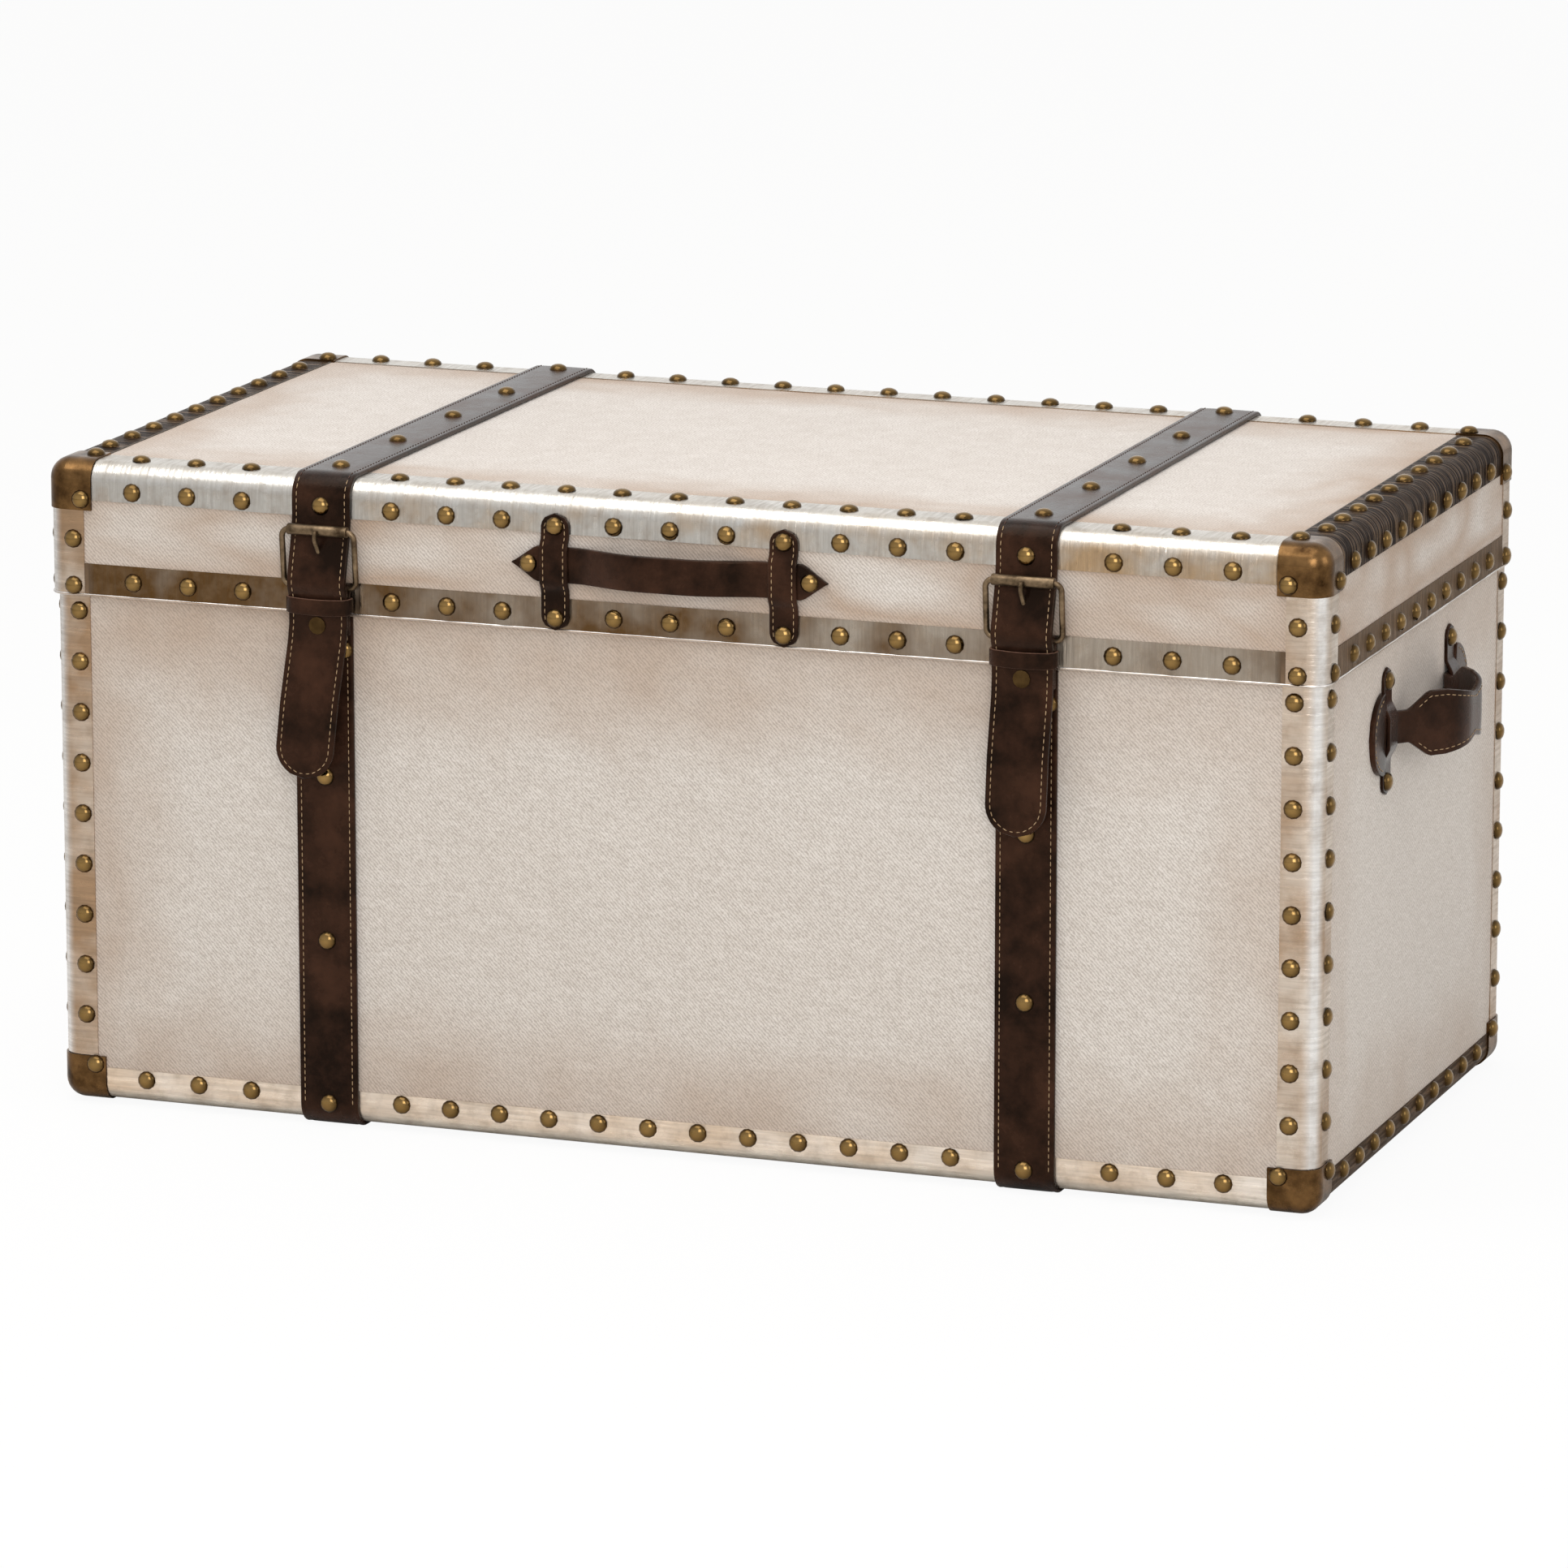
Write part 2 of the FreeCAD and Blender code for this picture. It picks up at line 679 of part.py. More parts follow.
def prong(x):
    """A pin with an eye round the bottom bar, which goes through the tongue and lies on the roller."""
    eye_at = at(x - prong_width / 2, bar_y, bar_z)
    way = prong_tip() - at(0, bar_y, bar_z)
    tip = eye_at + way + FreeCAD.Vector(way).normalize() * prong_overhang
    across = RIGHT * prong_width
    bore_radius = frame_wire / 2 + pivot_clearance
    eye = rod(bore_radius + prong_ring_wall, eye_at, eye_at + across)
    pin = strap([eye_at, tip], [], prong_thickness, across)
    return eye.fuse(pin).cut(bore(bore_radius, eye_at, eye_at + across))


def buckle_tab(x):
    """Leather folded round the bottom bar, slotted for the prong, with its two layers sewn below."""
    start = x - strap_width / 2
    bar = at(start, bar_y, bar_z)
    across = RIGHT * strap_width
    fold = rod(tab_radius, bar, bar + across)
    tail = box(start, start + strap_width, bar_y - tab_layer, bar_y + tab_layer, bar_z - tab_tail, bar_z)
    hole = bore(frame_wire / 2 + pivot_clearance, bar, bar + across)
    slot = box(x - tab_slot_width / 2, x + tab_slot_width / 2, bar_y - tab_radius, bar_y + tab_radius,
               bar_z - tab_radius, bar_z + tab_radius)
    return fold.fuse(tail).removeSplitter().cut(hole).cut(slot)


def keeper(x):
    """A leather band round the tongue and the tab."""
    half = strap_width / 2 + leather_clearance
    back = bar_y + tab_layer + leather_clearance / 2
    front = tongue_keeper_y - strap_thickness / 2 - leather_clearance
    top = keeper_z + keeper_height
    inner = box(x - half, x + half, front, back, keeper_z - overrun, top + overrun)
    wall = keeper_wall
    outer = box(x - half - wall, x + half + wall, front - wall, back + wall, keeper_z, top)
    upright = [e for e in outer.Edges if e.BoundBox.ZLength > keeper_height / 2]
    return outer.makeFillet(min(keeper_corner, keeper_wall), upright).cut(inner)


def snap(x):
    """A press stud: its cap on the front of the tongue and its magnet on the back of the tab."""
    front = at(x, tongue_keeper_y - strap_thickness / 2, snap_z)
    back = at(x, bar_y + tab_layer, snap_z)
    cap = rod(snap_cap_diameter / 2, front - BACK * snap_cap_thickness, front)
    magnet = rod(magnet_diameter / 2, back, back + BACK * magnet_thickness)
    return Part.makeCompound([cap, magnet])


def straps_and_flaps():
    pieces = {}
    for side, x, slant in (("left", -strap_x, tongue_left_slant), ("right", strap_x, tongue_right_slant)):
        pieces[side + "_lid_strap"] = lid_strap(x)
        pieces[side + "_base_strap"] = base_strap(x)
        pieces[side + "_tongue"] = tongue(x, slant)
        pieces[side + "_buckle_frame"] = buckle_frame(x)
        pieces[side + "_roller"] = roller(x)
        pieces[side + "_prong"] = prong(x)
        pieces[side + "_buckle_tab"] = buckle_tab(x)
        pieces[side + "_keeper"] = keeper(x)
        pieces[side + "_snap"] = snap(x)
    pieces["snap_strikes"] = Part.makeCompound(both_sides(strike(strap_x)))
    return pieces


def front_handle():
    """A strap that bows out between its loops and lies flat under them, with pointed ends."""
    lie = lid_front + strip_thickness - front_handle_thickness / 2
    tip = front_handle_length / 2
    rest = (loop_spacing - loop_width) / 2 - front_handle_bend_reach
    crest = rest * front_handle_crest_share
    middle = lid_top - front_handle_drop
    low = middle - front_handle_height / 2
    high = middle + front_handle_height / 2
    line = [at(-tip, lie, low), at(-rest, lie, low), at(-crest, lie - front_handle_bow, low),
            at(crest, lie - front_handle_bow, low), at(rest, lie, low), at(tip, lie, low)]
    bends = list(front_handle_bends) + list(front_handle_bends[::-1])
    blank = strap(line, bends, front_handle_thickness, UP * front_handle_height)
    shoulder = tip - front_handle_point
    points = [at(-tip, lid_back, middle), at(-shoulder, lid_back, high), at(shoulder, lid_back, high),
              at(tip, lid_back, middle), at(shoulder, lid_back, low), at(-shoulder, lid_back, low)]
    return blank.common(plate(points, -BACK * (2 * trunk_depth)))


def bridged_strap(flat, over, low, high, bump_low, bump_high, ramp):
    """Offsets and heights of a strap that is fixed at both ends and steps over something between."""
    return [(flat, high), (flat, bump_high + ramp), (over, bump_high),
            (over, bump_low), (flat, bump_low - ramp), (flat, low)]


def round_ends(leather, width, low, high, centre, facing):
    """Trims the two ends of an upright strap to half circles."""
    radius = width / 2
    depth = 2 * trunk_length
    away = centre - facing * trunk_length
    middle = box(-radius, radius, 0, depth, low + radius, high - radius)
    ends = [rod(radius, at(0, 0, z), at(0, depth, z)) for z in (low + radius, high - radius)]
    stencil = middle.fuse(ends)
    stencil.Placement = FreeCAD.Placement(away, FreeCAD.Rotation(BACK, facing))
    return leather.common(stencil)


def handle_loop():
    """An upright leather loop, nailed to the strip above and the band below, over the front handle."""
    x = loop_spacing / 2
    half = loop_thickness / 2
    flat = lid_front - half
    over = lid_front + strip_thickness - front_handle_thickness - leather_clearance - half
    middle = lid_top - front_handle_drop
    reach = front_handle_height / 2
    low = lid_rim + loop_rim_gap
    high = lid_top - loop_top_inset
    stations = bridged_strap(flat, over, low, high, middle - reach, middle + reach, loop_ramp)
    line = [at(x - loop_width / 2, y, z) for y, z in stations]
    leather = strap(line, [], loop_thickness, RIGHT * loop_width)
    return round_ends(leather, loop_width, low, high, at(x, 0, 0), BACK)


def lid_leather_nails():
    nails = []
    tip_y = lid_front + strip_thickness - front_handle_thickness
    tip_x = front_handle_length / 2 - front_handle_nail_inset
    nails += both_sides(nail(at(tip_x, tip_y, lid_top - front_handle_drop), -BACK))
    loop_heights = lid_rim + loop_rim_gap + loop_nail_inset, lid_top - loop_top_inset - loop_nail_inset
    for z in loop_heights:
        nails += both_sides(nail(at(loop_spacing / 2, lid_front - loop_thickness, z), -BACK))
    strap_top = lid_top + strap_thickness
    first_y = lid_front + strap_front_nail_inset
    for y in spaced(first_y, lid_back - strap_back_nail_inset, strap_top_nail_count):
        nails += both_sides(nail(at(strap_x, y, strap_top), UP))
    nail_z = lid_top - lid_strap_nail_drop
    nails += both_sides(nail(at(strap_x, lid_front - strap_thickness, nail_z), -BACK))
    nails += both_sides(nail(at(strap_x, lid_back + strap_thickness, nail_z), BACK))
    return Part.makeCompound(nails)


def end_handle():
    """One strap blank, bowed out in the middle: a grip and the two half-moon ends it is cut from."""
    half_moon_at = (bridge_spacing + bridge_width) / 2
    end_y = half_moon_at + half_moon_radius
    root_y = grip_root_spread / 2
    crest_y = grip_flat / 2
    low = end_handle_height - half_moon_radius
    line = [at(grip_root_x, -end_y, low), at(grip_root_x, -root_y, low), at(grip_apex_x, -crest_y, low),
            at(grip_apex_x, crest_y, low), at(grip_root_x, root_y, low), at(grip_root_x, end_y, low)]
    bends = [grip_root_bend, grip_bend, grip_bend, grip_root_bend]
    blank = strap(line, bends, grip_thickness, UP * (2 * half_moon_radius))
    leather = blank.common(end_handle_outline(half_moon_at))
    cut = grip_cut_spread / 2
    gap = grip_cut_gap / 2
    reach = trunk_length
    grip = leather.common(box(0, reach, -cut + gap, cut - gap, 0, reach))
    end = leather.common(box(0, reach, cut + gap, reach, 0, reach))
    return grip, end


def end_handle_outline(half_moon_at):
    """Side outline of the handle: slim in the middle, wide at the shoulders, narrow at the necks."""
    shoulder = grip_shoulder_spread / 2
    half_outline = [(0, grip_middle_height / 2), (shoulder - grip_shoulder_flat, grip_shoulder_height / 2),
                    (shoulder, grip_shoulder_height / 2), (grip_cut_spread / 2, grip_neck_height / 2),
                    (half_moon_at, grip_neck_height / 2), (half_moon_at, half_moon_radius)]
    middle = end_handle_height
    top = [at(0, y, middle + z) for y, z in half_outline]
    bottom = [at(0, y, middle - z) for y, z in half_outline]
    moon = Part.Arc(top[-1], at(0, half_moon_at + half_moon_radius, middle), bottom[-1])
    edges = [moon.toShape(), Part.LineSegment(bottom[0], top[0]).toShape()]
    for side in (top, bottom):
        edges += [Part.LineSegment(a, b).toShape() for a, b in zip(side, side[1:])]
    half = Part.Face(Part.Wire(Part.__sortEdges__(edges))).extrude(RIGHT * trunk_length)
    return half.fuse(half.mirror(ORIGIN, BACK)).removeSplitter()


def handle_bridge():
    """An upright leather piece, nailed at both ends, that holds the handle's neck to the end wall."""
    half = bridge_thickness / 2
    flat = end_wall_x + half
    over = end_wall_x + grip_thickness + leather_clearance + half
    y = bridge_spacing / 2
    low = end_handle_height - bridge_height / 2
    high = end_handle_height + bridge_height / 2
    neck_low = end_handle_height - grip_neck_height / 2
    neck_high = end_handle_height + grip_neck_height / 2
    stations = bridged_strap(flat, over, low, high, neck_low, neck_high, bridge_ramp)
    line = [at(x, y + bridge_width / 2, z) for x, z in stations]
    leather = strap(line, [], bridge_thickness, -BACK * bridge_width)
    return round_ends(leather, bridge_width, low, high, at(0, y, 0), RIGHT)


def base_leather_nails():
    nails = []
    face = base_front - strap_thickness
    for z in spaced(base_strap_foot_nail_height, base_rim - base_strap_nail_drop, base_strap_nail_count):
        nails += both_sides(nail(at(strap_x, face, z), -BACK))
        nails += both_sides(nail(at(strap_x, base_back + strap_thickness, z), BACK))
    for x in (strap_x - base_strap_pair_spread / 2, strap_x + base_strap_pair_spread / 2):
        nails += both_sides(nail(at(x, face, base_rim - base_strap_pair_drop), -BACK))
    reach = bridge_height / 2 - bridge_nail_inset
    for z in (end_handle_height - reach, end_handle_height + reach):
        bridge_face = end_wall_x + bridge_thickness
        nails += four_corners(nail(at(bridge_face, bridge_spacing / 2, z), RIGHT), 0)
    return Part.makeCompound(nails)


def handles():
    grip, end = end_handle()
    right, left = both_sides(grip)
    return {
        "front_handle": front_handle(),
        "front_handle_loops": Part.makeCompound(both_sides(handle_loop())),
        "right_handle_grip": right,
        "left_handle_grip": left,
        "handle_ends": Part.makeCompound(four_corners(end, 0)),
        "handle_bridges": Part.makeCompound(four_corners(handle_bridge(), 0)),
    }


def hinge_leaf(wall_y, edge_z, far_z, knuckles):
    """A leaf on the back wall, with tongues that run up to the knuckles of its own half."""
    x = hinge_x
    half = hinge_length / 2
    low, high = sorted((edge_z, far_z))
    leaf = box(x - half, x + half, wall_y, wall_y + hinge_leaf_thickness, low, high)
    width = hinge_length / hinge_knuckle_count
    low, high = sorted((edge_z, hinge_z))
    axis = at(0, hinge_y, hinge_z)
    pieces = []
    for i in knuckles:
        start = x - half + i * width + hinge_knuckle_gap / 2
        end = start + width - hinge_knuckle_gap
        pieces.append(box(start, end, wall_y, wall_y + hinge_leaf_thickness, low, high))
        pieces.append(rod(hinge_knuckle_diameter / 2, axis + RIGHT * start, axis + RIGHT * end))
    bore_radius = hinge_pin_diameter / 2 + pivot_clearance
    hole = bore(bore_radius, axis + RIGHT * (x - half), axis + RIGHT * (x + half))
    return leaf.fuse(pieces).removeSplitter().cut(hole)


def hinges():
    clear = hinge_knuckle_diameter / 2 + curve_relief
    base_edge = hinge_z - clear
    lid_edge = hinge_z + clear
    outer = [i for i in range(hinge_knuckle_count) if i % 2 == 0]
    inner = [i for i in range(hinge_knuckle_count) if i % 2 == 1]
    base_leaf = hinge_leaf(base_back - strip_thickness, base_edge, base_edge - hinge_base_leaf_height, outer)
    lid_leaf = hinge_leaf(lid_back, lid_edge, lid_edge + hinge_lid_leaf_height, inner)
    reach = hinge_length / 2 + hinge_pin_overhang
    x = hinge_x
    pin = rod(hinge_pin_diameter / 2, at(x - reach, hinge_y, hinge_z), at(x + reach, hinge_y, hinge_z))
    return {
        "hinge_base_leaves": Part.makeCompound(both_sides(base_leaf)),
        "hinge_lid_leaves": Part.makeCompound(both_sides(lid_leaf)),
        "hinge_pins": Part.makeCompound(both_sides(pin)),
    }


def stay_pivots():
    """Base pivot, lid pivot and elbow of a stay: with the lid's hinge they are the corners of a rhombus."""
    fold = math.radians(stay_fold_angle)
    back = stay_arm_length * math.cos(fold)
    rise = stay_arm_length * math.sin(fold)
    base = at(0, hinge_y - back, hinge_z - rise)
    lid = at(0, hinge_y - back, hinge_z + rise)
    elbow = at(0, hinge_y - 2 * back, hinge_z)
    return base, lid, elbow


def stay_arm(first, second, x, holes):
    """A flat arm with round ends, from one pivot to the other, at depth x inside the wall."""
    inner = RIGHT * (x - stay_arm_thickness)
    thick = RIGHT * stay_arm_thickness
    side = RIGHT.cross((second - first).normalize()) * (stay_arm_width / 2)
    corners = [first - side, first + side, second + side, second - side]
    arm = plate([point + inner for point in corners], thick)
    rounds = [rod(stay_arm_width / 2, end + inner, end + inner + thick) for end in (first, second)]
    arm = arm.fuse(rounds).removeSplitter()
    for end in holes:
        arm = arm.cut(bore(stay_pin_diameter / 2 + pivot_clearance, end + inner, end + inner + thick))
    return arm


def stay_bracket(pivot, wall_x, pin_end_x):
    """A screwed plate on the end wall, with a pin that an arm turns on."""
    half_length = stay_plate_length / 2
    half_width = stay_plate_width / 2
    base = box(wall_x - stay_plate_thickness, wall_x, pivot.y - half_length, pivot.y + half_length,
               pivot.z - half_width, pivot.z + half_width)
    return base.fuse(rod(stay_pin_diameter / 2, pivot + RIGHT * wall_x, pivot + RIGHT * pin_end_x))


def stay_layers():
    """Depths, from the end wall inwards: base wall, lid wall, outer faces of the lower and upper arms."""
    base_wall = base_half - wall_inset - lining_thickness
    lid_wall = lid_half - wall_inset - lining_thickness
    lower = base_wall - stay_plate_thickness - screw_height - stay_layer_gap
    upper = lower - stay_arm_thickness - stay_layer_gap
    return base_wall, lid_wall, lower, upper


def stays():
    base_pivot, lid_pivot, elbow = stay_pivots()
    base_wall, lid_wall, lower_x, upper_x = stay_layers()
    lower_end_x = lower_x - stay_arm_thickness
    upper_end_x = upper_x - stay_arm_thickness
    elbow_pin = rod(stay_pin_diameter / 2, elbow + RIGHT * lower_x, elbow + RIGHT * upper_end_x)
    lower = stay_arm(base_pivot, elbow, lower_x, [base_pivot]).fuse(elbow_pin)
    upper = stay_arm(lid_pivot, elbow, upper_x, [lid_pivot, elbow])
    right_lower, left_lower = both_sides(lower)
    right_upper, left_upper = both_sides(upper)
    return {
        "right_lower_stay_arm": right_lower,
        "left_lower_stay_arm": left_lower,
        "right_upper_stay_arm": right_upper,
        "left_upper_stay_arm": left_upper,
        "stay_base_brackets": Part.makeCompound(both_sides(stay_bracket(base_pivot, base_wall, lower_end_x))),
        "stay_lid_brackets": Part.makeCompound(both_sides(stay_bracket(lid_pivot, lid_wall, upper_end_x))),
    }


def screw(place, outward):
    return faceted_head(screw_diameter, screw_height, place, outward)


def screws():
    base = []
    lid = []
    hinge_clear = hinge_knuckle_diameter / 2 + curve_relief
    base_z = hinge_z - hinge_clear - hinge_base_leaf_height / 2
    lid_z = hinge_z + hinge_clear + hinge_lid_leaf_height / 2
    for step in (-screw_spacing, 0, screw_spacing):
        x = hinge_x + step
        base_face = base_back - strip_thickness + hinge_leaf_thickness
        base += both_sides(screw(at(x, base_face, base_z), BACK))
        lid += both_sides(screw(at(x, lid_back + hinge_leaf_thickness, lid_z), BACK))
    base_pivot, lid_pivot, elbow = stay_pivots()
    base_wall, lid_wall, lower_x, upper_x = stay_layers()
    for step in (-stay_screw_spacing / 2, stay_screw_spacing / 2):
        along = BACK * step
        base += both_sides(screw(base_pivot + along + RIGHT * (base_wall - stay_plate_thickness), -RIGHT))
        lid += both_sides(screw(lid_pivot + along + RIGHT * (lid_wall - stay_plate_thickness), -RIGHT))
    return {"base_screws": Part.makeCompound(base), "lid_screws": Part.makeCompound(lid)}


def nails():
    return {"base_strip_nails": base_strip_nails(), "lid_strip_nails": lid_strip_nails(),
            "base_leather_nails": base_leather_nails(), "lid_leather_nails": lid_leather_nails()}


pieces = {}
for group in (base_boards, lid_boards, canvas, metal_strips, corner_caps, straps_and_flaps,
              handles, hinges, stays, nails, screws):
    pieces.update(group())

# The origin is under the middle of the whole trunk, on the surface that it stands on
bounds = Part.makeCompound(list(pieces.values())).BoundBox
to_origin = at(-bounds.Center.x, -bounds.Center.y, -bounds.ZMin)
os.makedirs("parts", exist_ok=True)
for name, shape in pieces.items():
    shape.translate(to_origin)
    shape.exportStep("parts/" + name + ".step")

base_pivot, lid_pivot, elbow = stay_pivots()
places = {
    "lid hinge": at(0, hinge_y, hinge_z),
    "flap fold": at(strap_x, flap_y, flap_z),
    "roller": at(strap_x, roller_y, roller_z),
    "grip": at(grip_axis_x, 0, end_handle_height),
    "stay base pivot": base_pivot,
    "stay lid pivot": lid_pivot,
    "stay elbow": elbow,
    "front rim": at(base_half, base_front, base_rim),
    "back top": at(lid_half, lid_back, lid_top),
}
print("size", bounds.XLength, bounds.YLength, bounds.ZLength)
for name, place in places.items():
    print(name, tuple(round(value, 4) for value in place + to_origin))
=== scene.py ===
import bisect
import math
import random

import bmesh
import bpy
from mathutils import Matrix, Vector, noise
from mathutils.geometry import interpolate_bezier


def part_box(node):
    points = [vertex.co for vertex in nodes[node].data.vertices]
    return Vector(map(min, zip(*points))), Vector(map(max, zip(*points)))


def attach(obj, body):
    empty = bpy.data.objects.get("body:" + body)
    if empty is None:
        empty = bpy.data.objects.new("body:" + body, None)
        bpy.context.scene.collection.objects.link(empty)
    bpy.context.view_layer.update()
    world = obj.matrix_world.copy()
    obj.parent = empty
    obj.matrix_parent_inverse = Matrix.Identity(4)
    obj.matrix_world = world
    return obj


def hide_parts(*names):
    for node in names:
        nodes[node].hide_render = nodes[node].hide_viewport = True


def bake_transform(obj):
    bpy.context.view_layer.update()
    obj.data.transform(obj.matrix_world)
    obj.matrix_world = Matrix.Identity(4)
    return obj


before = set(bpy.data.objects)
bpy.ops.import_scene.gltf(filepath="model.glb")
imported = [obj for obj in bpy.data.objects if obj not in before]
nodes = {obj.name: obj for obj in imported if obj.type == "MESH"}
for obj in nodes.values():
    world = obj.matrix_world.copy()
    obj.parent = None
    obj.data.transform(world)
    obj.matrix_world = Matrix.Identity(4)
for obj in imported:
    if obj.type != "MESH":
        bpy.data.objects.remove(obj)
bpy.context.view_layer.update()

# The view: the trunk from its right front corner, a little above the lid, through a long lens.
# Lengths are metres, and angles are the camera's turn to the left and its tilt down.
view_place = (1.9721, -5.3794, 1.5115)
view_turn = 0.35149
view_tilt = 0.22316
view = bpy.data.cameras.new("view")
view.lens = 196.55
view.sensor_width = 36
view_holder = bpy.data.objects.new("view", view)
view_holder.location = view_place
view_holder.rotation_euler = (math.pi / 2 - view_tilt, 0, view_turn)
bpy.context.scene.collection.objects.link(view_holder)
bpy.context.scene.camera = view_holder


# The studio: a white paper sweep under and behind the trunk, a dimmer room in front, one wide lamp
# overhead and softer ones in front and at the side. The floor keeps the trunk's shadow.
def add_node(tree, kind, inputs=None, **settings):
    """Adds a node: settings are its own properties, inputs its sockets, each a value or another socket."""
    made = tree.nodes.new("ShaderNode" + kind)
    for name, value in settings.items():
        setattr(made, name, value)
    for name, value in (inputs or {}).items():
        if isinstance(value, bpy.types.NodeSocket):
            tree.links.new(value, made.inputs[name])
        else:
            made.inputs[name].default_value = value
    return made


def hex_colour(code):
    """The linear colour of an sRGB hex code."""
    parts = [int(code[i:i + 2], 16) / 255 for i in (1, 3, 5)]
    return [c / 12.92 if c <= 0.04045 else ((c + 0.055) / 1.055) ** 2.4 for c in parts] + [1]


white = (1, 1, 1, 1)
world = bpy.data.worlds.new("studio")
world.use_nodes = True
bpy.context.scene.world = world
tree = world.node_tree
tree.nodes.clear()
path = add_node(tree, "LightPath")
seen = add_node(tree, "Math", {0: path.outputs["Is Camera Ray"], 1: path.outputs["Is Glossy Ray"]},
                operation="MAXIMUM")
seen = add_node(tree, "Math", {0: seen.outputs[0], 1: path.outputs["Is Transmission Ray"]},
                operation="MAXIMUM")
sweep_heading = (-0.45, 1, 0.25)
front_light = 0.22
sweep_light = 1.0
direction = add_node(tree, "TexCoord").outputs["Generated"]
heading = add_node(tree, "VectorMath", {0: direction, 1: sweep_heading}, operation="DOT_PRODUCT")
sweep = add_node(tree, "MapRange", {"Value": heading.outputs["Value"], 1: -0.5, 2: 0.5,
                                    3: front_light, 4: sweep_light}, interpolation_type="SMOOTHSTEP")
lit = add_node(tree, "Background", {"Color": hex_colour("#F4F3F1"), "Strength": sweep.outputs[0]})
plain = add_node(tree, "Background", {"Color": white, "Strength": 1})
mixed = add_node(tree, "MixShader", {0: seen.outputs[0], 1: lit.outputs[0], 2: plain.outputs[0]})
add_node(tree, "OutputWorld", {"Surface": mixed.outputs[0]})

# White paper is matt, and lit so evenly that only the trunk's shadow shows on it.
paper_glow = 0.93
paper = bpy.data.materials.new("white_paper")
paper.use_nodes = True
tree = paper.node_tree
tree.nodes.clear()
path = add_node(tree, "LightPath")
dull = add_node(tree, "BsdfDiffuse", {"Color": hex_colour("#E8E6E3")})
glow = add_node(tree, "Emission", {"Color": white, "Strength": 1})
share = add_node(tree, "Math", {0: path.outputs["Is Camera Ray"], 1: paper_glow}, operation="MULTIPLY")
mixed = add_node(tree, "MixShader", {0: share.outputs[0], 1: dull.outputs[0], 2: glow.outputs[0]})
add_node(tree, "OutputMaterial", {"Surface": mixed.outputs[0]})

floor_half = 12
bm = bmesh.new()
bmesh.ops.create_grid(bm, x_segments=1, y_segments=1, size=floor_half)
floor_mesh = bpy.data.meshes.new("floor")
bm.to_mesh(floor_mesh)
bm.free()
floor_mesh.materials.append(paper)
floor = bpy.data.objects.new("floor", floor_mesh)
bpy.context.scene.collection.objects.link(floor)

for name, place, aim, size, watts in (
        ("overhead", (-0.3, -1.0, 3.0), (0, 0, 0.3), 2.6, 57),
        ("front", (1.5, -4.0, 1.9), (0, 0, 0.25), 2.0, 66),
        ("side", (3.6, -0.6, 1.6), (0.3, 0, 0.25), 1.6, 17)):
    lamp = bpy.data.lights.new(name, "AREA")
    lamp.energy = watts
    lamp.size = size
    holder = bpy.data.objects.new(name, lamp)
    holder.location = place
    holder.rotation_euler = (Vector(aim) - Vector(place)).to_track_quat("-Z", "Y").to_euler()
    bpy.context.scene.collection.objects.link(holder)
bpy.context.scene.view_settings.view_transform = "Standard"


# Boards: planed softwood, glued and pinned into a box and a lid. They show only at the rims
# when the lid is open, as pale wood with a straight grain.
mm = 0.001


def start_material(name):
    """A new material: itself, its tree, its shader and the place on the piece."""
    made = bpy.data.materials.new(name)
    made.use_nodes = True
    tree = made.node_tree
    return made, tree, tree.nodes["Principled BSDF"], add_node(tree, "TexCoord").outputs["Object"]


def dress(material, *names):
    """Gives a material to nodes that are shown as packed."""
    for name in names:
        for place in nodes[name].material_slots:
            place.material = material


# Planed pine is pale and satin, with long darker lines of grain.
pine, tree, shader, place = start_material("planed_pine")
grain_width = 4 * mm
grain_stretch = (0.06, 1, 1)
stretched = add_node(tree, "Mapping", {"Vector": place, "Scale": grain_stretch})
grain = add_node(tree, "TexNoise", {"Vector": stretched.outputs[0], "Scale": 1 / grain_width, "Detail": 3})
colour = add_node(tree, "Mix", {0: grain.outputs[0], 6: hex_colour("#B98F5E"), 7: hex_colour("#DDB988")},
                  data_type="RGBA")
tree.links.new(colour.outputs[2], shader.inputs["Base Color"])
shader.inputs["Roughness"].default_value = 0.62
raised = add_node(tree, "Bump", {"Height": grain.outputs[0], "Strength": 0.2, "Distance": 0.3 * mm})
tree.links.new(raised.outputs[0], shader.inputs["Normal"])
dress(pine, "base_front_panel", "base_back_panel", "base_end_panels", "base_bottom_panel",
      "lid_top_panel", "lid_front_panel", "lid_back_panel", "lid_end_panels")


# Covering: cotton canvas in a coarse diagonal twill, glued to the boards before the metal goes on.
# It is greige, rubbed with brown along the edges and in clouds, as old luggage ages.
fold_angle = math.radians(42)


def finish_piece(bm, name, materials, slot, *replaced):
    """Makes the object, smooth but for its sharp folds."""
    bmesh.ops.recalc_face_normals(bm, faces=bm.faces)
    mesh = bpy.data.meshes.new(name)
    bm.to_mesh(mesh)
    bm.free()
    for material in materials:
        mesh.materials.append(material)
    mesh.shade_smooth()
    mesh.set_sharp_from_angle(angle=fold_angle)
    piece = bpy.data.objects.new(name, mesh)
    bpy.context.scene.collection.objects.link(piece)
    if replaced:
        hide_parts(*replaced)
    return piece


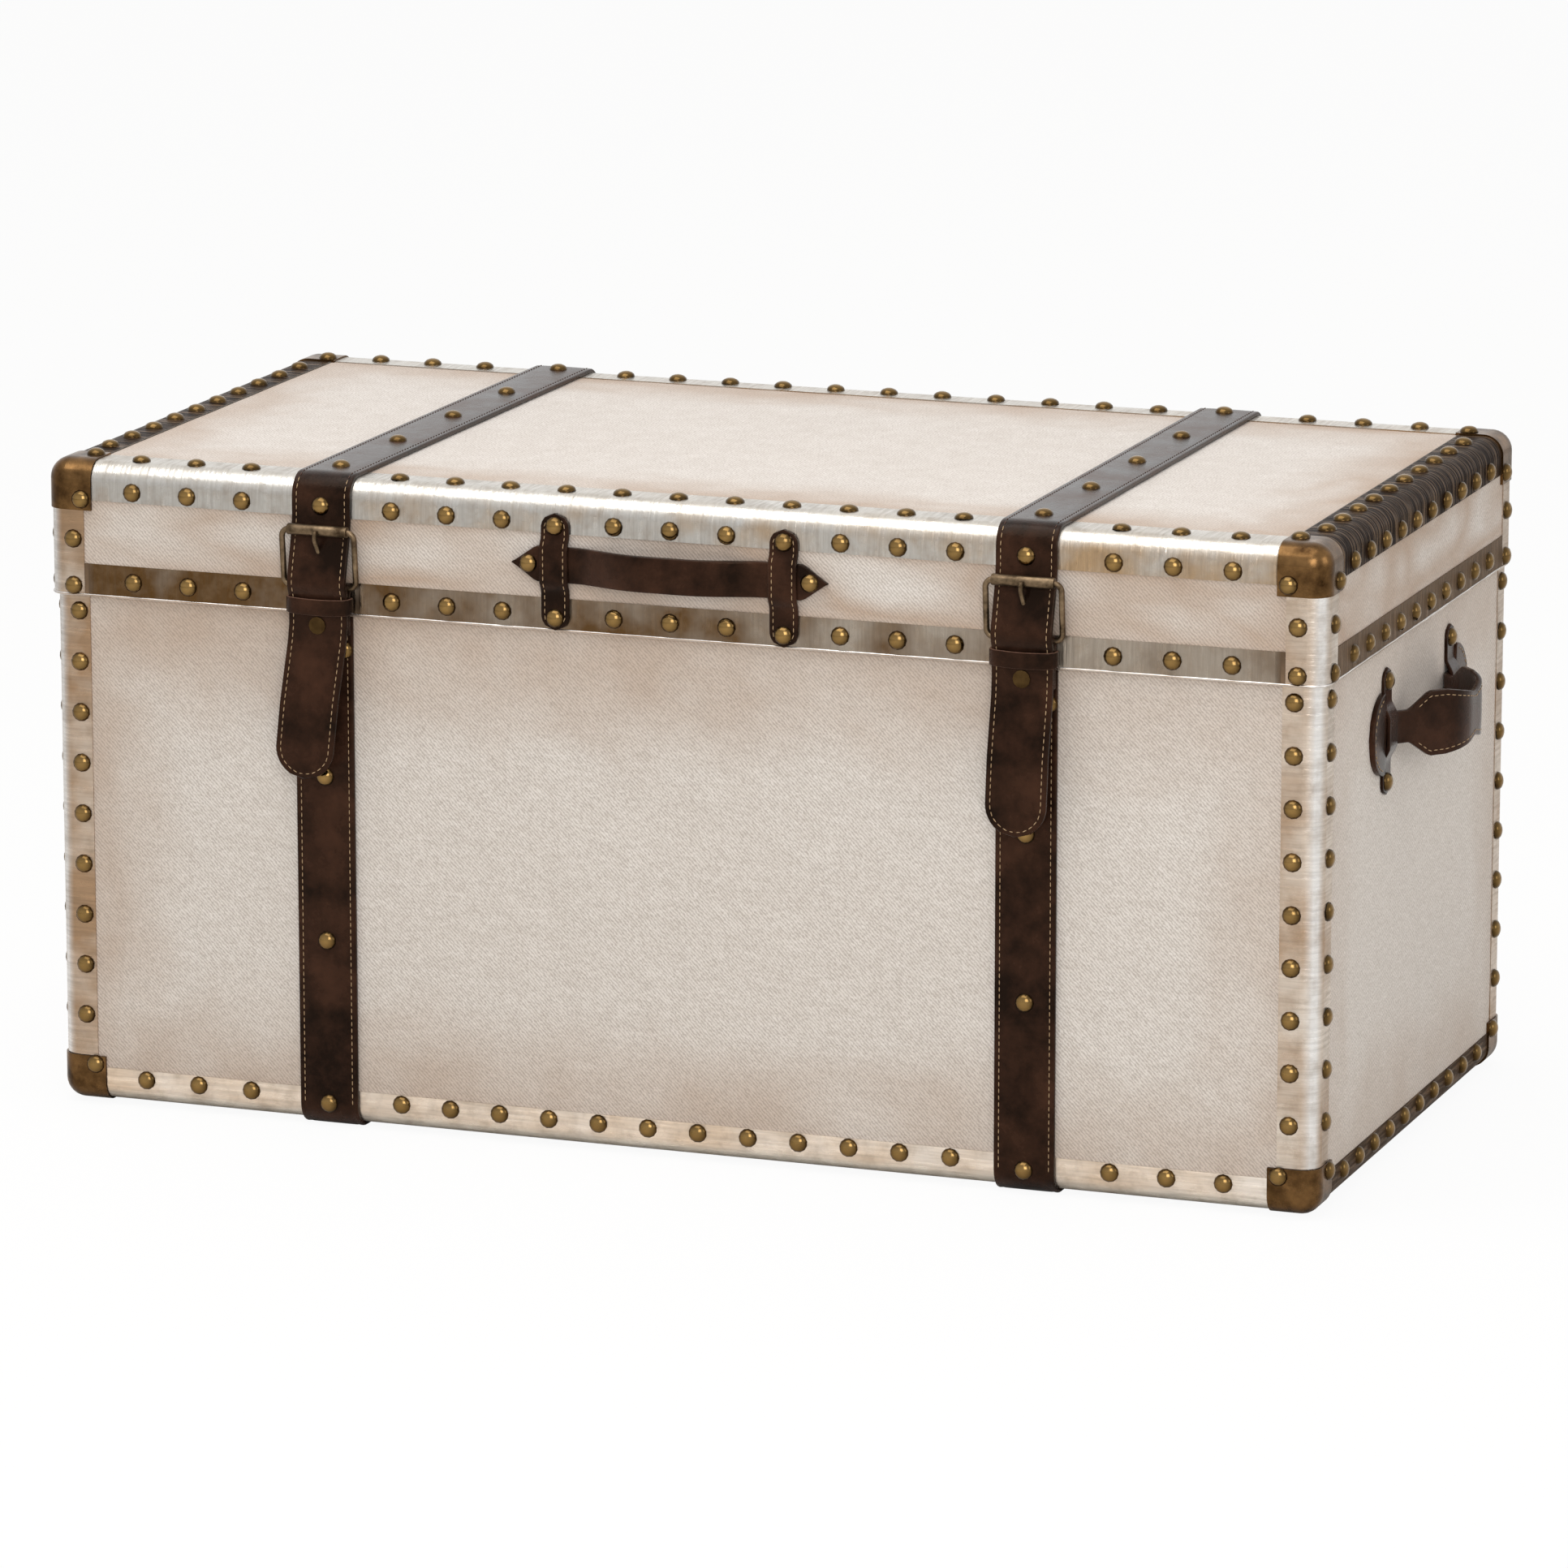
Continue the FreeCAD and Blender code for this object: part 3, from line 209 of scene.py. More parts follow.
def aged_twill(name, low, high, rub, rub_lean):
    """Canvas rubbed brown along the edges of the box between two corners, and more so to one side."""
    # The twill gives fine slanted ribs, its gaps between the yarns painted darker as painted shade, slubs,
    # and a dry matt face with soft clouds.
    made, tree, shader, place = start_material(name)
    rib_spacing = 2.0 * mm  # woven at about 1 mm, drawn coarser so that it shows
    turns_per_unit = 10 / (2 * math.pi)
    wave_scale = 1 / (rib_spacing * math.sqrt(2) * turns_per_unit)
    ribs = add_node(tree, "TexWave", {"Vector": place, "Scale": wave_scale, "Distortion": 3.0,
                                      "Detail": 3, "Detail Scale": 2.0}, bands_direction="DIAGONAL")
    yarn_width = 1.6 * mm
    yarns = add_node(tree, "TexNoise", {"Vector": place, "Scale": 1 / yarn_width, "Detail": 2})
    slub_length = 14 * mm
    slub_stretch = (1, 1, 4)
    drawn_out = add_node(tree, "Mapping", {"Vector": place, "Scale": slub_stretch})
    slubs = add_node(tree, "TexNoise", {"Vector": drawn_out.outputs[0], "Scale": 1 / slub_length,
                                        "Detail": 4})
    yarn_share = 0.68
    weave = add_node(tree, "Mix", {0: yarn_share, 2: ribs.outputs[1], 3: yarns.outputs[0]})

    centre = (low + high) / 2
    half = (high - low) / 2
    facing = add_node(tree, "TexCoord").outputs["Normal"]
    off = add_node(tree, "VectorMath", {0: place, 1: centre}, operation="SUBTRACT")
    off = add_node(tree, "VectorMath", {0: off.outputs[0]}, operation="ABSOLUTE")
    room = add_node(tree, "VectorMath", {0: half, 1: off.outputs[0]}, operation="SUBTRACT")
    flat = add_node(tree, "VectorMath", {0: facing}, operation="ABSOLUTE")
    beyond_reach = (9, 9, 9)  # keeps the direction that a wall faces out of its nearest edge
    room = add_node(tree, "VectorMath", {0: flat.outputs[0], 1: beyond_reach, 2: room.outputs[0]},
                    operation="MULTIPLY_ADD")
    parts = add_node(tree, "SeparateXYZ", {0: room.outputs[0]})
    near = add_node(tree, "Math", {0: parts.outputs[0], 1: parts.outputs[1]}, operation="MINIMUM")
    near = add_node(tree, "Math", {0: near.outputs[0], 1: parts.outputs[2]}, operation="MINIMUM")
    rub_start = 15 * mm
    rub_reach = 115 * mm
    middle_rub = 0.06
    edge = add_node(tree, "MapRange", {"Value": near.outputs[0], 1: rub_start, 2: rub_reach,
                                       3: rub, 4: middle_rub}, interpolation_type="SMOOTHSTEP")
    cloud_size = 150 * mm
    clouds = add_node(tree, "TexNoise", {"Vector": place, "Scale": 1 / cloud_size, "Detail": 3,
                                         "Roughness": 0.6})
    across = add_node(tree, "SeparateXYZ", {0: place}).outputs[0]
    leaning = add_node(tree, "Math", {0: across, 1: rub_lean, 2: clouds.outputs[0]},
                       operation="MULTIPLY_ADD")
    patch = add_node(tree, "MapRange", {"Value": leaning.outputs[0], 1: 0.30, 2: 0.66, 3: 0.45, 4: 1.05})
    rubbed = add_node(tree, "Math", {0: edge.outputs[0], 1: patch.outputs[0]}, operation="MULTIPLY")

    clean = add_node(tree, "Mix", {0: slubs.outputs[0], 6: hex_colour("#D0C8C0"), 7: hex_colour("#E7E1DB")},
                     data_type="RGBA")
    aged = add_node(tree, "Mix", {0: rubbed.outputs[0], 6: clean.outputs[2], 7: hex_colour("#A98A6E")},
                    data_type="RGBA")
    # Where the weave is low, between the yarns, the canvas is painted darker: painted shade.
    gap_shade = add_node(tree, "MapRange", {"Value": weave.outputs[0], 1: 0.28, 2: 0.66, 3: 0.56, 4: 0.0})
    woven = add_node(tree, "Mix", {0: gap_shade.outputs[0], 6: aged.outputs[2], 7: hex_colour("#8F8074")},
                     data_type="RGBA")
    tree.links.new(woven.outputs[2], shader.inputs["Base Color"])
    shader.inputs["Roughness"].default_value = 0.86
    shader.inputs["Sheen Weight"].default_value = 0.12
    raised = add_node(tree, "Bump", {"Height": weave.outputs[0], "Strength": 0.5, "Distance": 0.7 * mm})
    tree.links.new(raised.outputs[0], shader.inputs["Normal"])
    return made


cloth_cells = (36, 18, 12)


def cloth_skin(low, high, open_side, edge_cut, thickness, ripple):
    """A box of cloth, open above (1) or below (-1), with cut corners and a slight ripple."""
    bm = bmesh.new()
    bmesh.ops.create_cube(bm, size=1)
    size = high - low
    middle = (low + high) / 2
    bmesh.ops.scale(bm, vec=size, verts=bm.verts)
    bmesh.ops.translate(bm, vec=middle, verts=bm.verts)
    rim = high.z if open_side > 0 else low.z
    mouth = [f for f in bm.faces if all(abs(v.co.z - rim) < mm for v in f.verts)]
    bmesh.ops.delete(bm, geom=mouth, context="FACES_ONLY")
    if edge_cut:
        folds = [e for e in bm.edges if not e.is_boundary]
        bmesh.ops.bevel(bm, geom=folds, offset=edge_cut, offset_type="OFFSET", segments=1, profile=0.5,
                        affect="EDGES", material=-1)
    for axis, count in enumerate(cloth_cells):
        for i in range(1, count):
            cut = low.copy()
            cut[axis] += size[axis] * i / count
            across = Vector((axis == 0, axis == 1, axis == 2))
            bmesh.ops.bisect_plane(bm, geom=bm.verts[:] + bm.edges[:] + bm.faces[:], plane_co=cut,
                                   plane_no=across, dist=1e-6)
    bmesh.ops.recalc_face_normals(bm, faces=bm.faces)
    if sum(f.normal.dot(f.calc_center_median() - middle) for f in bm.faces) < 0:
        bmesh.ops.reverse_faces(bm, faces=bm.faces)
    bm.normal_update()
    ripple_size = 45 * mm
    for v in bm.verts:
        v.co += v.normal * ripple * (0.5 + 0.5 * noise.noise(v.co / ripple_size))
    bmesh.ops.solidify(bm, geom=bm.faces, thickness=thickness)
    return bm


canvas_thickness = 0.8 * mm
canvas_edge_cut = 12.3 * mm
canvas_ripple = 0.5 * mm
for body, open_side, rub, rub_lean in (("base", 1, 0.64, -0.35), ("lid", -1, 0.92, 0.05)):
    low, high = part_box(body + "_canvas")
    twill = aged_twill(body + "_cotton_twill", low, high, rub, rub_lean)
    bm = cloth_skin(low, high, open_side, canvas_edge_cut, canvas_thickness, canvas_ripple)
    piece = finish_piece(bm, body + "_canvas_cover", [twill], "canvas", body + "_canvas")
    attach(piece, body)


# Lining: plain cream cotton, cut to the inside of the base and of the lid and pasted to the boards.
# It shows only when the lid is open.
cotton, tree, shader, place = start_material("plain_cotton")
# Plain cotton is matt and even, with a fine thread and the faint marks of use.
thread_spacing = 1.6 * mm  # woven at about 0.5 mm, drawn coarser so that it shows
threads = add_node(tree, "TexNoise", {"Vector": place, "Scale": 1 / thread_spacing, "Detail": 2})
mark_size = 70 * mm
marks = add_node(tree, "TexNoise", {"Vector": place, "Scale": 1 / mark_size, "Detail": 3})
tone = add_node(tree, "Mix", {0: marks.outputs[0], 6: hex_colour("#C9B99C"), 7: hex_colour("#DFD3BB")},
                data_type="RGBA")
tree.links.new(tone.outputs[2], shader.inputs["Base Color"])
shader.inputs["Roughness"].default_value = 0.9
raised = add_node(tree, "Bump", {"Height": threads.outputs[0], "Strength": 0.3, "Distance": 0.4 * mm})
tree.links.new(raised.outputs[0], shader.inputs["Normal"])
lining_thickness = 0.6 * mm
for body, open_side in (("base", 1), ("lid", -1)):
    low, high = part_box(body + "_lining")
    bm = cloth_skin(low, high, open_side, 0, lining_thickness, 0)
    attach(finish_piece(bm, body + "_cotton_lining", [cotton], "lining", body + "_lining"), body)


# Edge strips and the band round the lid's rim: thin rolled aluminium, folded over the edges by hand,
# wire-brushed across and toned with a gold-brown wash that has worn off in places.
def brushed_strip(name, stroke, bright, washed, bend_wear_and_highlight, wash_low, wash_high, wash_lean, end_shade_tone):
    """Strip metal: bright where rubbed, gold-brown where the wash stays and more so to one side, with
    strokes, and dents painted darker as painted shade. Its bends and its faces that look up or down take a
    lighter tone, partly wear and partly a painted highlight, and along the trunk's ends it is painted a
    dull brown as painted shade if an end shade tone is given."""
    made, tree, shader, place = start_material(name)
    shader.inputs["Metallic"].default_value = 1
    shader.inputs["Specular IOR Level"].default_value = 0.01
    # Brushed aluminium shows fine strokes and soft dents, the dents painted darker as painted shade, and a
    # bright line along its bends that is partly wear and partly a painted highlight.
    across = add_node(tree, "SeparateXYZ", {0: place}).outputs[0]
    off = add_node(tree, "Math", {0: across}, operation="ABSOLUTE")
    ends_from = 416 * mm
    ends_full = 420 * mm
    ends = add_node(tree, "MapRange", {"Value": off.outputs[0], 1: ends_from, 2: ends_full, 3: 0, 4: 1})
    stroke_width = 2.4 * mm  # brushed finer than 0.5 mm, drawn coarser so that it shows
    side_way = add_node(tree, "Mapping", {"Vector": place, "Scale": stroke})
    end_way = add_node(tree, "Mapping", {"Vector": place, "Scale": (stroke[1], stroke[0], stroke[2])})
    along = add_node(tree, "Mix", {0: ends.outputs[0], 4: side_way.outputs[0], 5: end_way.outputs[0]},
                     data_type="VECTOR")
    strokes = add_node(tree, "TexNoise", {"Vector": along.outputs[1], "Scale": 1 / stroke_width,
                                          "Detail": 3})
    patch_size = 55 * mm
    wash = add_node(tree, "TexNoise", {"Vector": place, "Scale": 1 / patch_size, "Detail": 4,
                                       "Roughness": 0.5})
    leaning = add_node(tree, "Math", {0: across, 1: wash_lean, 2: wash.outputs[0]},
                       operation="MULTIPLY_ADD")
    kept = add_node(tree, "MapRange", {"Value": leaning.outputs[0], 1: wash_low, 2: wash_high, 3: 0, 4: 1})
    tone = add_node(tree, "Mix", {0: kept.outputs[0], 6: hex_colour(bright), 7: hex_colour(washed)},
                    data_type="RGBA")
    normal = add_node(tree, "TexCoord").outputs["Normal"]
    facing = add_node(tree, "VectorMath", {0: normal}, operation="ABSOLUTE")
    faces = add_node(tree, "SeparateXYZ", {0: facing.outputs[0]})
    flat = add_node(tree, "Math", {0: faces.outputs[0], 1: faces.outputs[1]}, operation="MAXIMUM")
    # Bends and faces that look up or down take the bend tone: partly wear, partly a painted highlight.
    wear_and_shine = add_node(tree, "MapRange", {"Value": flat.outputs[0], 1: 0.99, 2: 0.8, 3: 0, 4: 0.8})
    tone = add_node(tree, "Mix", {0: wear_and_shine.outputs[0], 6: tone.outputs[2], 7: hex_colour(bend_wear_and_highlight)},
                    data_type="RGBA")
    dent_size = 13 * mm
    dents = add_node(tree, "TexNoise", {"Vector": place, "Scale": 1 / dent_size, "Detail": 4,
                                        "Roughness": 0.6})
    # The dents are painted darker: painted shade.
    painted_dent_shade = add_node(tree, "MapRange", {"Value": dents.outputs[0], 1: 0.46, 2: 0.70, 3: 0, 4: 0.32})
    tone = add_node(tree, "Mix", {0: painted_dent_shade.outputs[0], 6: tone.outputs[2], 7: hex_colour("#8A745C")},
                    data_type="RGBA")
    dark = add_node(tree, "MapRange", {"Value": strokes.outputs[0], 1: 0.3, 2: 0.7, 3: 0.30, 4: 0.0})
    tone = add_node(tree, "Mix", {0: dark.outputs[0], 6: tone.outputs[2], 7: hex_colour("#5E5244")},
                    data_type="RGBA")
    # Along the trunk's ends the strip is painted dark brown, with lighter streaks on its strokes: painted
    # shade and painted highlight streaks for the darker surroundings the metal there would reflect. The
    # metal share drops there too.
    if end_shade_tone:
        end_streak_highlights = add_node(tree, "MapRange", {"Value": strokes.outputs[0], 1: 0.48, 2: 0.68,
                                                3: 0, 4: 0.5})
        end_shade_mix = add_node(tree, "Mix", {0: end_streak_highlights.outputs[0], 6: hex_colour(end_shade_tone),
                                      7: hex_colour("#8C735C")}, data_type="RGBA")
        tone = add_node(tree, "Mix", {0: ends.outputs[0], 6: tone.outputs[2], 7: end_shade_mix.outputs[2]},
                        data_type="RGBA")
        metal_share = add_node(tree, "MapRange", {"Value": ends.outputs[0], 1: 0, 2: 1, 3: 1, 4: 0.1})
        tree.links.new(metal_share.outputs[0], shader.inputs["Metallic"])
    tree.links.new(tone.outputs[2], shader.inputs["Base Color"])
    rough = add_node(tree, "MapRange", {"Value": strokes.outputs[0], 1: 0.3, 2: 0.7, 3: 0.42, 4: 0.22})
    tree.links.new(rough.outputs[0], shader.inputs["Roughness"])
    stroke_share = 0.42
    height = add_node(tree, "Mix", {0: stroke_share, 2: dents.outputs[0], 3: strokes.outputs[0]})
    raised = add_node(tree, "Bump", {"Height": height.outputs[0], "Strength": 0.6, "Distance": 1.4 * mm})
    tree.links.new(raised.outputs[0], shader.inputs["Normal"])
    return made


stroke_stretch = 0.07
upright_stroke = (1, stroke_stretch, stroke_stretch)
level_stroke = (stroke_stretch, stroke_stretch, 1)
bright_strip = brushed_strip("brushed_aluminium", upright_stroke, "#BCB9B4", "#AE9373", "#E6E1D8",
                             wash_low=0.46, wash_high=0.70, wash_lean=0.3, end_shade_tone="#1A0D05")
foot_strip = brushed_strip("brushed_foot_aluminium", level_stroke, "#F8EFE5", "#E6CEB4", "#D9D4CB",
                           wash_low=0.28, wash_high=0.74, wash_lean=-0.2, end_shade_tone="#403124")
washed_strip = brushed_strip("gold_washed_aluminium", upright_stroke, "#A0968A", "#5C4225", "#D9D4CB",
                             wash_low=0.34, wash_high=0.64, wash_lean=-0.36, end_shade_tone="#5D4C3C")
corner_strip = brushed_strip("gold_washed_corner", level_stroke, "#DDD2C6", "#A88A6D", "#F2F3F4",
                             wash_low=0.28, wash_high=0.64, wash_lean=-0.17, end_shade_tone=None)
dress(bright_strip, "lid_top_strips")
dress(foot_strip, "base_bottom_strips")
dress(washed_strip, "lid_rim_bands")
dress(corner_strip, "lid_corner_strips", "base_corner_strips")


# Lid bead: the lower edge of the lid's metal is rolled over a thin wire along the front and round
# both front corners to the back of the ends, so that it shows as a bright line above the base.
bend_steps = 12
bend_pull = 0.55  # how far each handle of a bend reaches towards its corner


def bent_line(points, radii):
    """The line of a bent piece: straight runs, with a bend of each radius at the points between."""
    points = [Vector(p) * mm for p in points]
    line = [points[0]]
    for before, corner, after, radius in zip(points, points[1:], points[2:], radii):
        back = (before - corner).normalized()
        on = (after - corner).normalized()
        reach = radius * mm / math.tan(back.angle(on) / 2)
        first = corner + back * reach
        last = corner + on * reach
        line += interpolate_bezier(first, first.lerp(corner, bend_pull), last.lerp(corner, bend_pull), last,
                                   bend_steps)
    return line + [points[-1]]


def bent_wire(points, radius, closed):
    """A round wire bent through points, as a mesh."""
    curve = bpy.data.curves.new("wire", "CURVE")
    curve.dimensions = "3D"
    curve.bevel_depth = radius
    curve.bevel_resolution = 4
    curve.use_fill_caps = True
    spline = curve.splines.new("POLY")
    spline.points.add(len(points) - 1)
    for point, place in zip(spline.points, points):
        point.co = (*place, 1)
    spline.use_cyclic_u = closed
    holder = bpy.data.objects.new("wire", curve)
    mesh = bpy.data.meshes.new_from_object(holder)
    bm = bmesh.new()
    bm.from_mesh(mesh)
    bpy.data.objects.remove(holder)
    bpy.data.curves.remove(curve)
    bpy.data.meshes.remove(mesh)
    return bm


bead_radius = 0.9 * mm
bead_corner = 13
bead_plan = [(-450, 216), (-450, -220), (450, -220), (450, 216)]
bead_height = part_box("lid_rim_bands")[0].z + bead_radius
bead_line = [Vector((x, y, bead_height)) for x, y in bent_line(bead_plan, [bead_corner, bead_corner])]
bm = bent_wire(bead_line, bead_radius, False)
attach(finish_piece(bm, "lid_rim_bead", [corner_strip], "edge_strip"), "lid")


# Corner caps: brass pressed over a die, one for each corner, browned and then rubbed back,
# and held by dome nails through their skirts.
def antique_brass(name, own_rub_and_shade, browned, rubbed, dullness):
    """Browned brass: gold where it is rubbed and dark where it isn't, by its own rub map if it has one,
    which paints a nail head light at its crown and dark at its rim, partly wear and partly painted shade.
    """
    # Old brass has a soft gloss, brown stains in patches and faint scratches.
    made, tree, shader, place = start_material(name)
    shader.inputs["Metallic"].default_value = 1
    stain_size = 14 * mm
    stains = add_node(tree, "TexNoise", {"Vector": place, "Scale": 1 / stain_size, "Detail": 5,
                                         "Roughness": 0.6})
    kept = add_node(tree, "MapRange", {"Value": stains.outputs[0], 1: 0.25, 2: 0.75, 3: 0.0, 4: 1.0})
    fade = kept.outputs[0]
    # A piece's own rub map paints it light at the crown and dark at the rim: partly wear, partly painted
    # shade that gives a nail head its shape.
    if own_rub_and_shade:
        rub = add_node(tree, "Attribute", attribute_name="rub")
        rub_and_shade_share = 0.72
        fade = add_node(tree, "Mix", {0: rub_and_shade_share, 2: kept.outputs[0], 3: rub.outputs["Fac"]}).outputs[0]
    tone = add_node(tree, "Mix", {0: fade, 6: hex_colour(browned), 7: hex_colour(rubbed)},
                    data_type="RGBA")
    tree.links.new(tone.outputs[2], shader.inputs["Base Color"])
    rubbed_dullness = 0.6 * dullness
    rough = add_node(tree, "MapRange", {"Value": stains.outputs[0], 1: 0.3, 2: 0.7,
                                        3: dullness, 4: rubbed_dullness})
    tree.links.new(rough.outputs[0], shader.inputs["Roughness"])
    scratch_size = 5 * mm
    scratches = add_node(tree, "TexNoise", {"Vector": place, "Scale": 1 / scratch_size, "Detail": 4})
    raised = add_node(tree, "Bump", {"Height": scratches.outputs[0], "Strength": 0.12, "Distance": 0.3 * mm})
    tree.links.new(raised.outputs[0], shader.inputs["Normal"])
    return made


cap_brass = antique_brass("pressed_antique_brass", False, "#2C1C0D", "#83623D", 0.34)
dress(cap_brass, "lid_corner_caps", "base_corner_caps")


# Dome nails: brass heads driven by hand in close rows along the strips and through the leather.
# Each sits where its head is in the frame, a little off line and askew, as such nails do.
dome_brass = antique_brass("dome_antique_brass", True, "#22150A", "#967849", 0.24)
dome_radius = 6.5 * mm
dome_height = 4 * mm
dome_tilt = math.radians(5)
head_sides = 5  # of the nail heads in the frame
level_slack = 0.1 * mm
chance = random.Random(7)


def nail_seats(node):
    """The place and outward direction of each nail in a node, in the order of its mesh."""
    bm = bmesh.new()
    bm.from_mesh(nodes[node].data)
    bmesh.ops.remove_doubles(bm, verts=bm.verts, dist=0.02 * mm)
    found = []
    left = set(bm.verts)
    for start in bm.verts:
        if start not in left:
            continue
        left.remove(start)
        island = [start]
        for v in island:
            for e in v.link_edges:
                other = e.other_vert(v)
                if other in left:
                    left.remove(other)
                    island.append(other)
        for axis in range(3):
            level = sorted(v.co[axis] for v in island)
            foot_low = level[head_sides - 1] - level[0] < level_slack
            foot_high = level[-1] - level[-head_sides] < level_slack
            if foot_low or foot_high:
                outward = Vector((0, 0, 0))
                outward[axis] = 1 if foot_low else -1
                crown = max(island, key=lambda v: v.co.dot(outward)).co
                found.append((crown - outward * dome_height, outward))
    bm.free()
    return found


bm = bmesh.new()
bmesh.ops.create_uvsphere(bm, u_segments=12, v_segments=8, radius=dome_radius)
below = [v for v in bm.verts if v.co.z < -level_slack]
bmesh.ops.delete(bm, geom=below, context="VERTS")
bmesh.ops.scale(bm, vec=(1, 1, dome_height / dome_radius), verts=bm.verts)
# Each head is painted from dark at its rim to light at its crown: partly wear, partly painted shade.
rub_and_shade_layer = bm.verts.layers.float.new("rub")
for v in bm.verts:
    v[rub_and_shade_layer] = (v.co.z / dome_height) ** 2
dome = bpy.data.meshes.new("dome")
bm.to_mesh(dome)
bm.free()

for node, body in (("base_strip_nails", "base"), ("lid_strip_nails", "lid"),
                   ("base_leather_nails", "base"), ("lid_leather_nails", "lid")):
    bm = bmesh.new()
    for seat, outward in nail_seats(node):
        first = len(bm.verts)
        bm.from_mesh(dome)
        bm.verts.ensure_lookup_table()
        lean = Matrix.Rotation(chance.uniform(-dome_tilt, dome_tilt), 4, "X")
        turn = Matrix.Rotation(chance.uniform(0, math.pi), 4, "Z")
        stand = outward.to_track_quat("Z", "Y").to_matrix().to_4x4()
        bmesh.ops.transform(bm, matrix=Matrix.Translation(seat) @ stand @ turn @ lean,
                            verts=bm.verts[first:])
    piece = finish_piece(bm, node.replace("nails", "dome_nails"), [dome_brass], "antique_brass", node)
    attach(piece, body)


# Leather straps: dark brown hide cut in strips, edge-stitched with tan thread while flat, then bent
# over the trunk and nailed. Each lid strap runs on into the tongue that hangs through its buckle.
hide, tree, shader, place = start_material("oiled_brown_hide")
# Oiled hide shows fine pebbled grain, reddish clouds where the dye is thin, and a soft gloss.
cloud_size = 34 * mm
clouds = add_node(tree, "TexNoise", {"Vector": place, "Scale": 1 / cloud_size, "Detail": 5,
                                     "Roughness": 0.62})
thin = add_node(tree, "MapRange", {"Value": clouds.outputs[0], 1: 0.36, 2: 0.72, 3: 0, 4: 1})
dyed = add_node(tree, "Mix", {0: thin.outputs[0], 6: hex_colour("#170E0A"), 7: hex_colour("#40291E")},
                data_type="RGBA")
tree.links.new(dyed.outputs[2], shader.inputs["Base Color"])
pebble_size = 1.5 * mm  # real grain is under 1 mm, drawn coarser so that it shows
pebbles = add_node(tree, "TexVoronoi", {"Vector": place, "Scale": 1 / pebble_size}, feature="F1")
crease_size = 7 * mm
creases = add_node(tree, "TexNoise", {"Vector": place, "Scale": 1 / crease_size, "Detail": 4})
crease_share = 0.55
relief = add_node(tree, "Mix", {0: crease_share, 2: pebbles.outputs[0], 3: creases.outputs[0]})
raised = add_node(tree, "Bump", {"Height": relief.outputs[0], "Strength": 0.28, "Distance": 0.6 * mm})
tree.links.new(raised.outputs[0], shader.inputs["Normal"])
wear_and_shine = add_node(tree, "MapRange", {"Value": clouds.outputs[0], 1: 0.3, 2: 0.7, 3: 0.17, 4: 0.33})
tree.links.new(wear_and_shine.outputs[0], shader.inputs["Roughness"])
shader.inputs["Specular IOR Level"].default_value = 0.4
shader.inputs["Specular Tint"].default_value = hex_colour("#7A6656")


def linen_thread(name, dark, light):
    """Sewing thread between two tones."""
    # Waxed linen is matt, and its twist shows as a change of tone along each stitch.
    made, tree, shader, place = start_material(name)
    twist_length = 1.2 * mm
    twist = add_node(tree, "TexNoise", {"Vector": place, "Scale": 1 / twist_length, "Detail": 2})
    tone = add_node(tree, "Mix", {0: twist.outputs[0], 6: hex_colour(dark), 7: hex_colour(light)},
                    data_type="RGBA")
    tree.links.new(tone.outputs[2], shader.inputs["Base Color"])
    shader.inputs["Roughness"].default_value = 0.7
    return made


thread = linen_thread("waxed_linen_thread", "#86694A", "#BFA27C")
dark_thread = linen_thread("brown_linen_thread", "#2E1B13", "#5A3A2A")
leather_materials = [hide, thread, dark_thread]
tan_seam = leather_materials.index(thread)
dark_seam = leather_materials.index(dark_thread)

stitch_inset = 3.6 * mm
stitch_pitch = 4.6 * mm
stitch_half = Vector((1.8, 0.34, 0.3)) * mm
stitch_lift = 0.12 * mm
groove_width = 1.1 * mm
groove_depth = 0.25 * mm
leather_row = 3 * mm
edge_round = 0.8 * mm
rim_angle = 1  # radian, past which an edge is a rim to round


def along(line):
    """A function from a length along the line to the point and direction there, and the whole length."""
    lengths = [0]
    for a, b in zip(line, line[1:]):
        lengths.append(lengths[-1] + (b - a).length)

    def reached(length):
        i = min(max(bisect.bisect_right(lengths, length) - 1, 0), len(line) - 2)
        run = (line[i + 1] - line[i]).normalized()
        return line[i] + run * (length - lengths[i]), run
    return reached, lengths[-1]


def cut_leather(length, thickness, half_width, crown, columns):
    """A flat strip along +X, a little full in the middle, with a groove under each stitch row."""
    bm = bmesh.new()
    rows = max(8, round(length / leather_row))
    bmesh.ops.create_grid(bm, x_segments=rows, y_segments=len(columns) - 1, size=0.5)
    for v in bm.verts:
        v.co.x = (v.co.x + 0.5) * length
        share = columns[round((v.co.y + 0.5) * (len(columns) - 1))]
        v.co.y = share * half_width(v.co.x)
    bmesh.ops.remove_doubles(bm, verts=bm.verts, dist=0.01 * mm)
    bmesh.ops.recalc_face_normals(bm, faces=bm.faces)
    if sum(f.normal.z for f in bm.faces) < 0:
        bmesh.ops.reverse_faces(bm, faces=bm.faces)
    bmesh.ops.translate(bm, vec=(0, 0, thickness / 2), verts=bm.verts)
    bmesh.ops.solidify(bm, geom=bm.faces, thickness=thickness)
    rims = [e for e in bm.edges if len(e.link_faces) == 2 and e.calc_face_angle() > rim_angle]
    bmesh.ops.bevel(bm, geom=rims, offset=edge_round, offset_type="OFFSET", segments=2, profile=0.5,
                    affect="EDGES", material=-1)
    for v in bm.verts:
        reach = max(half_width(min(max(v.co.x, 0), length)), mm)
        share = abs(v.co.y) / reach
        groove = math.exp(-((share * reach - reach + stitch_inset) / groove_width) ** 2)
        if v.co.z > 0:
            v.co.z += crown * (1 - share ** 2) - groove_depth * groove
    return bm


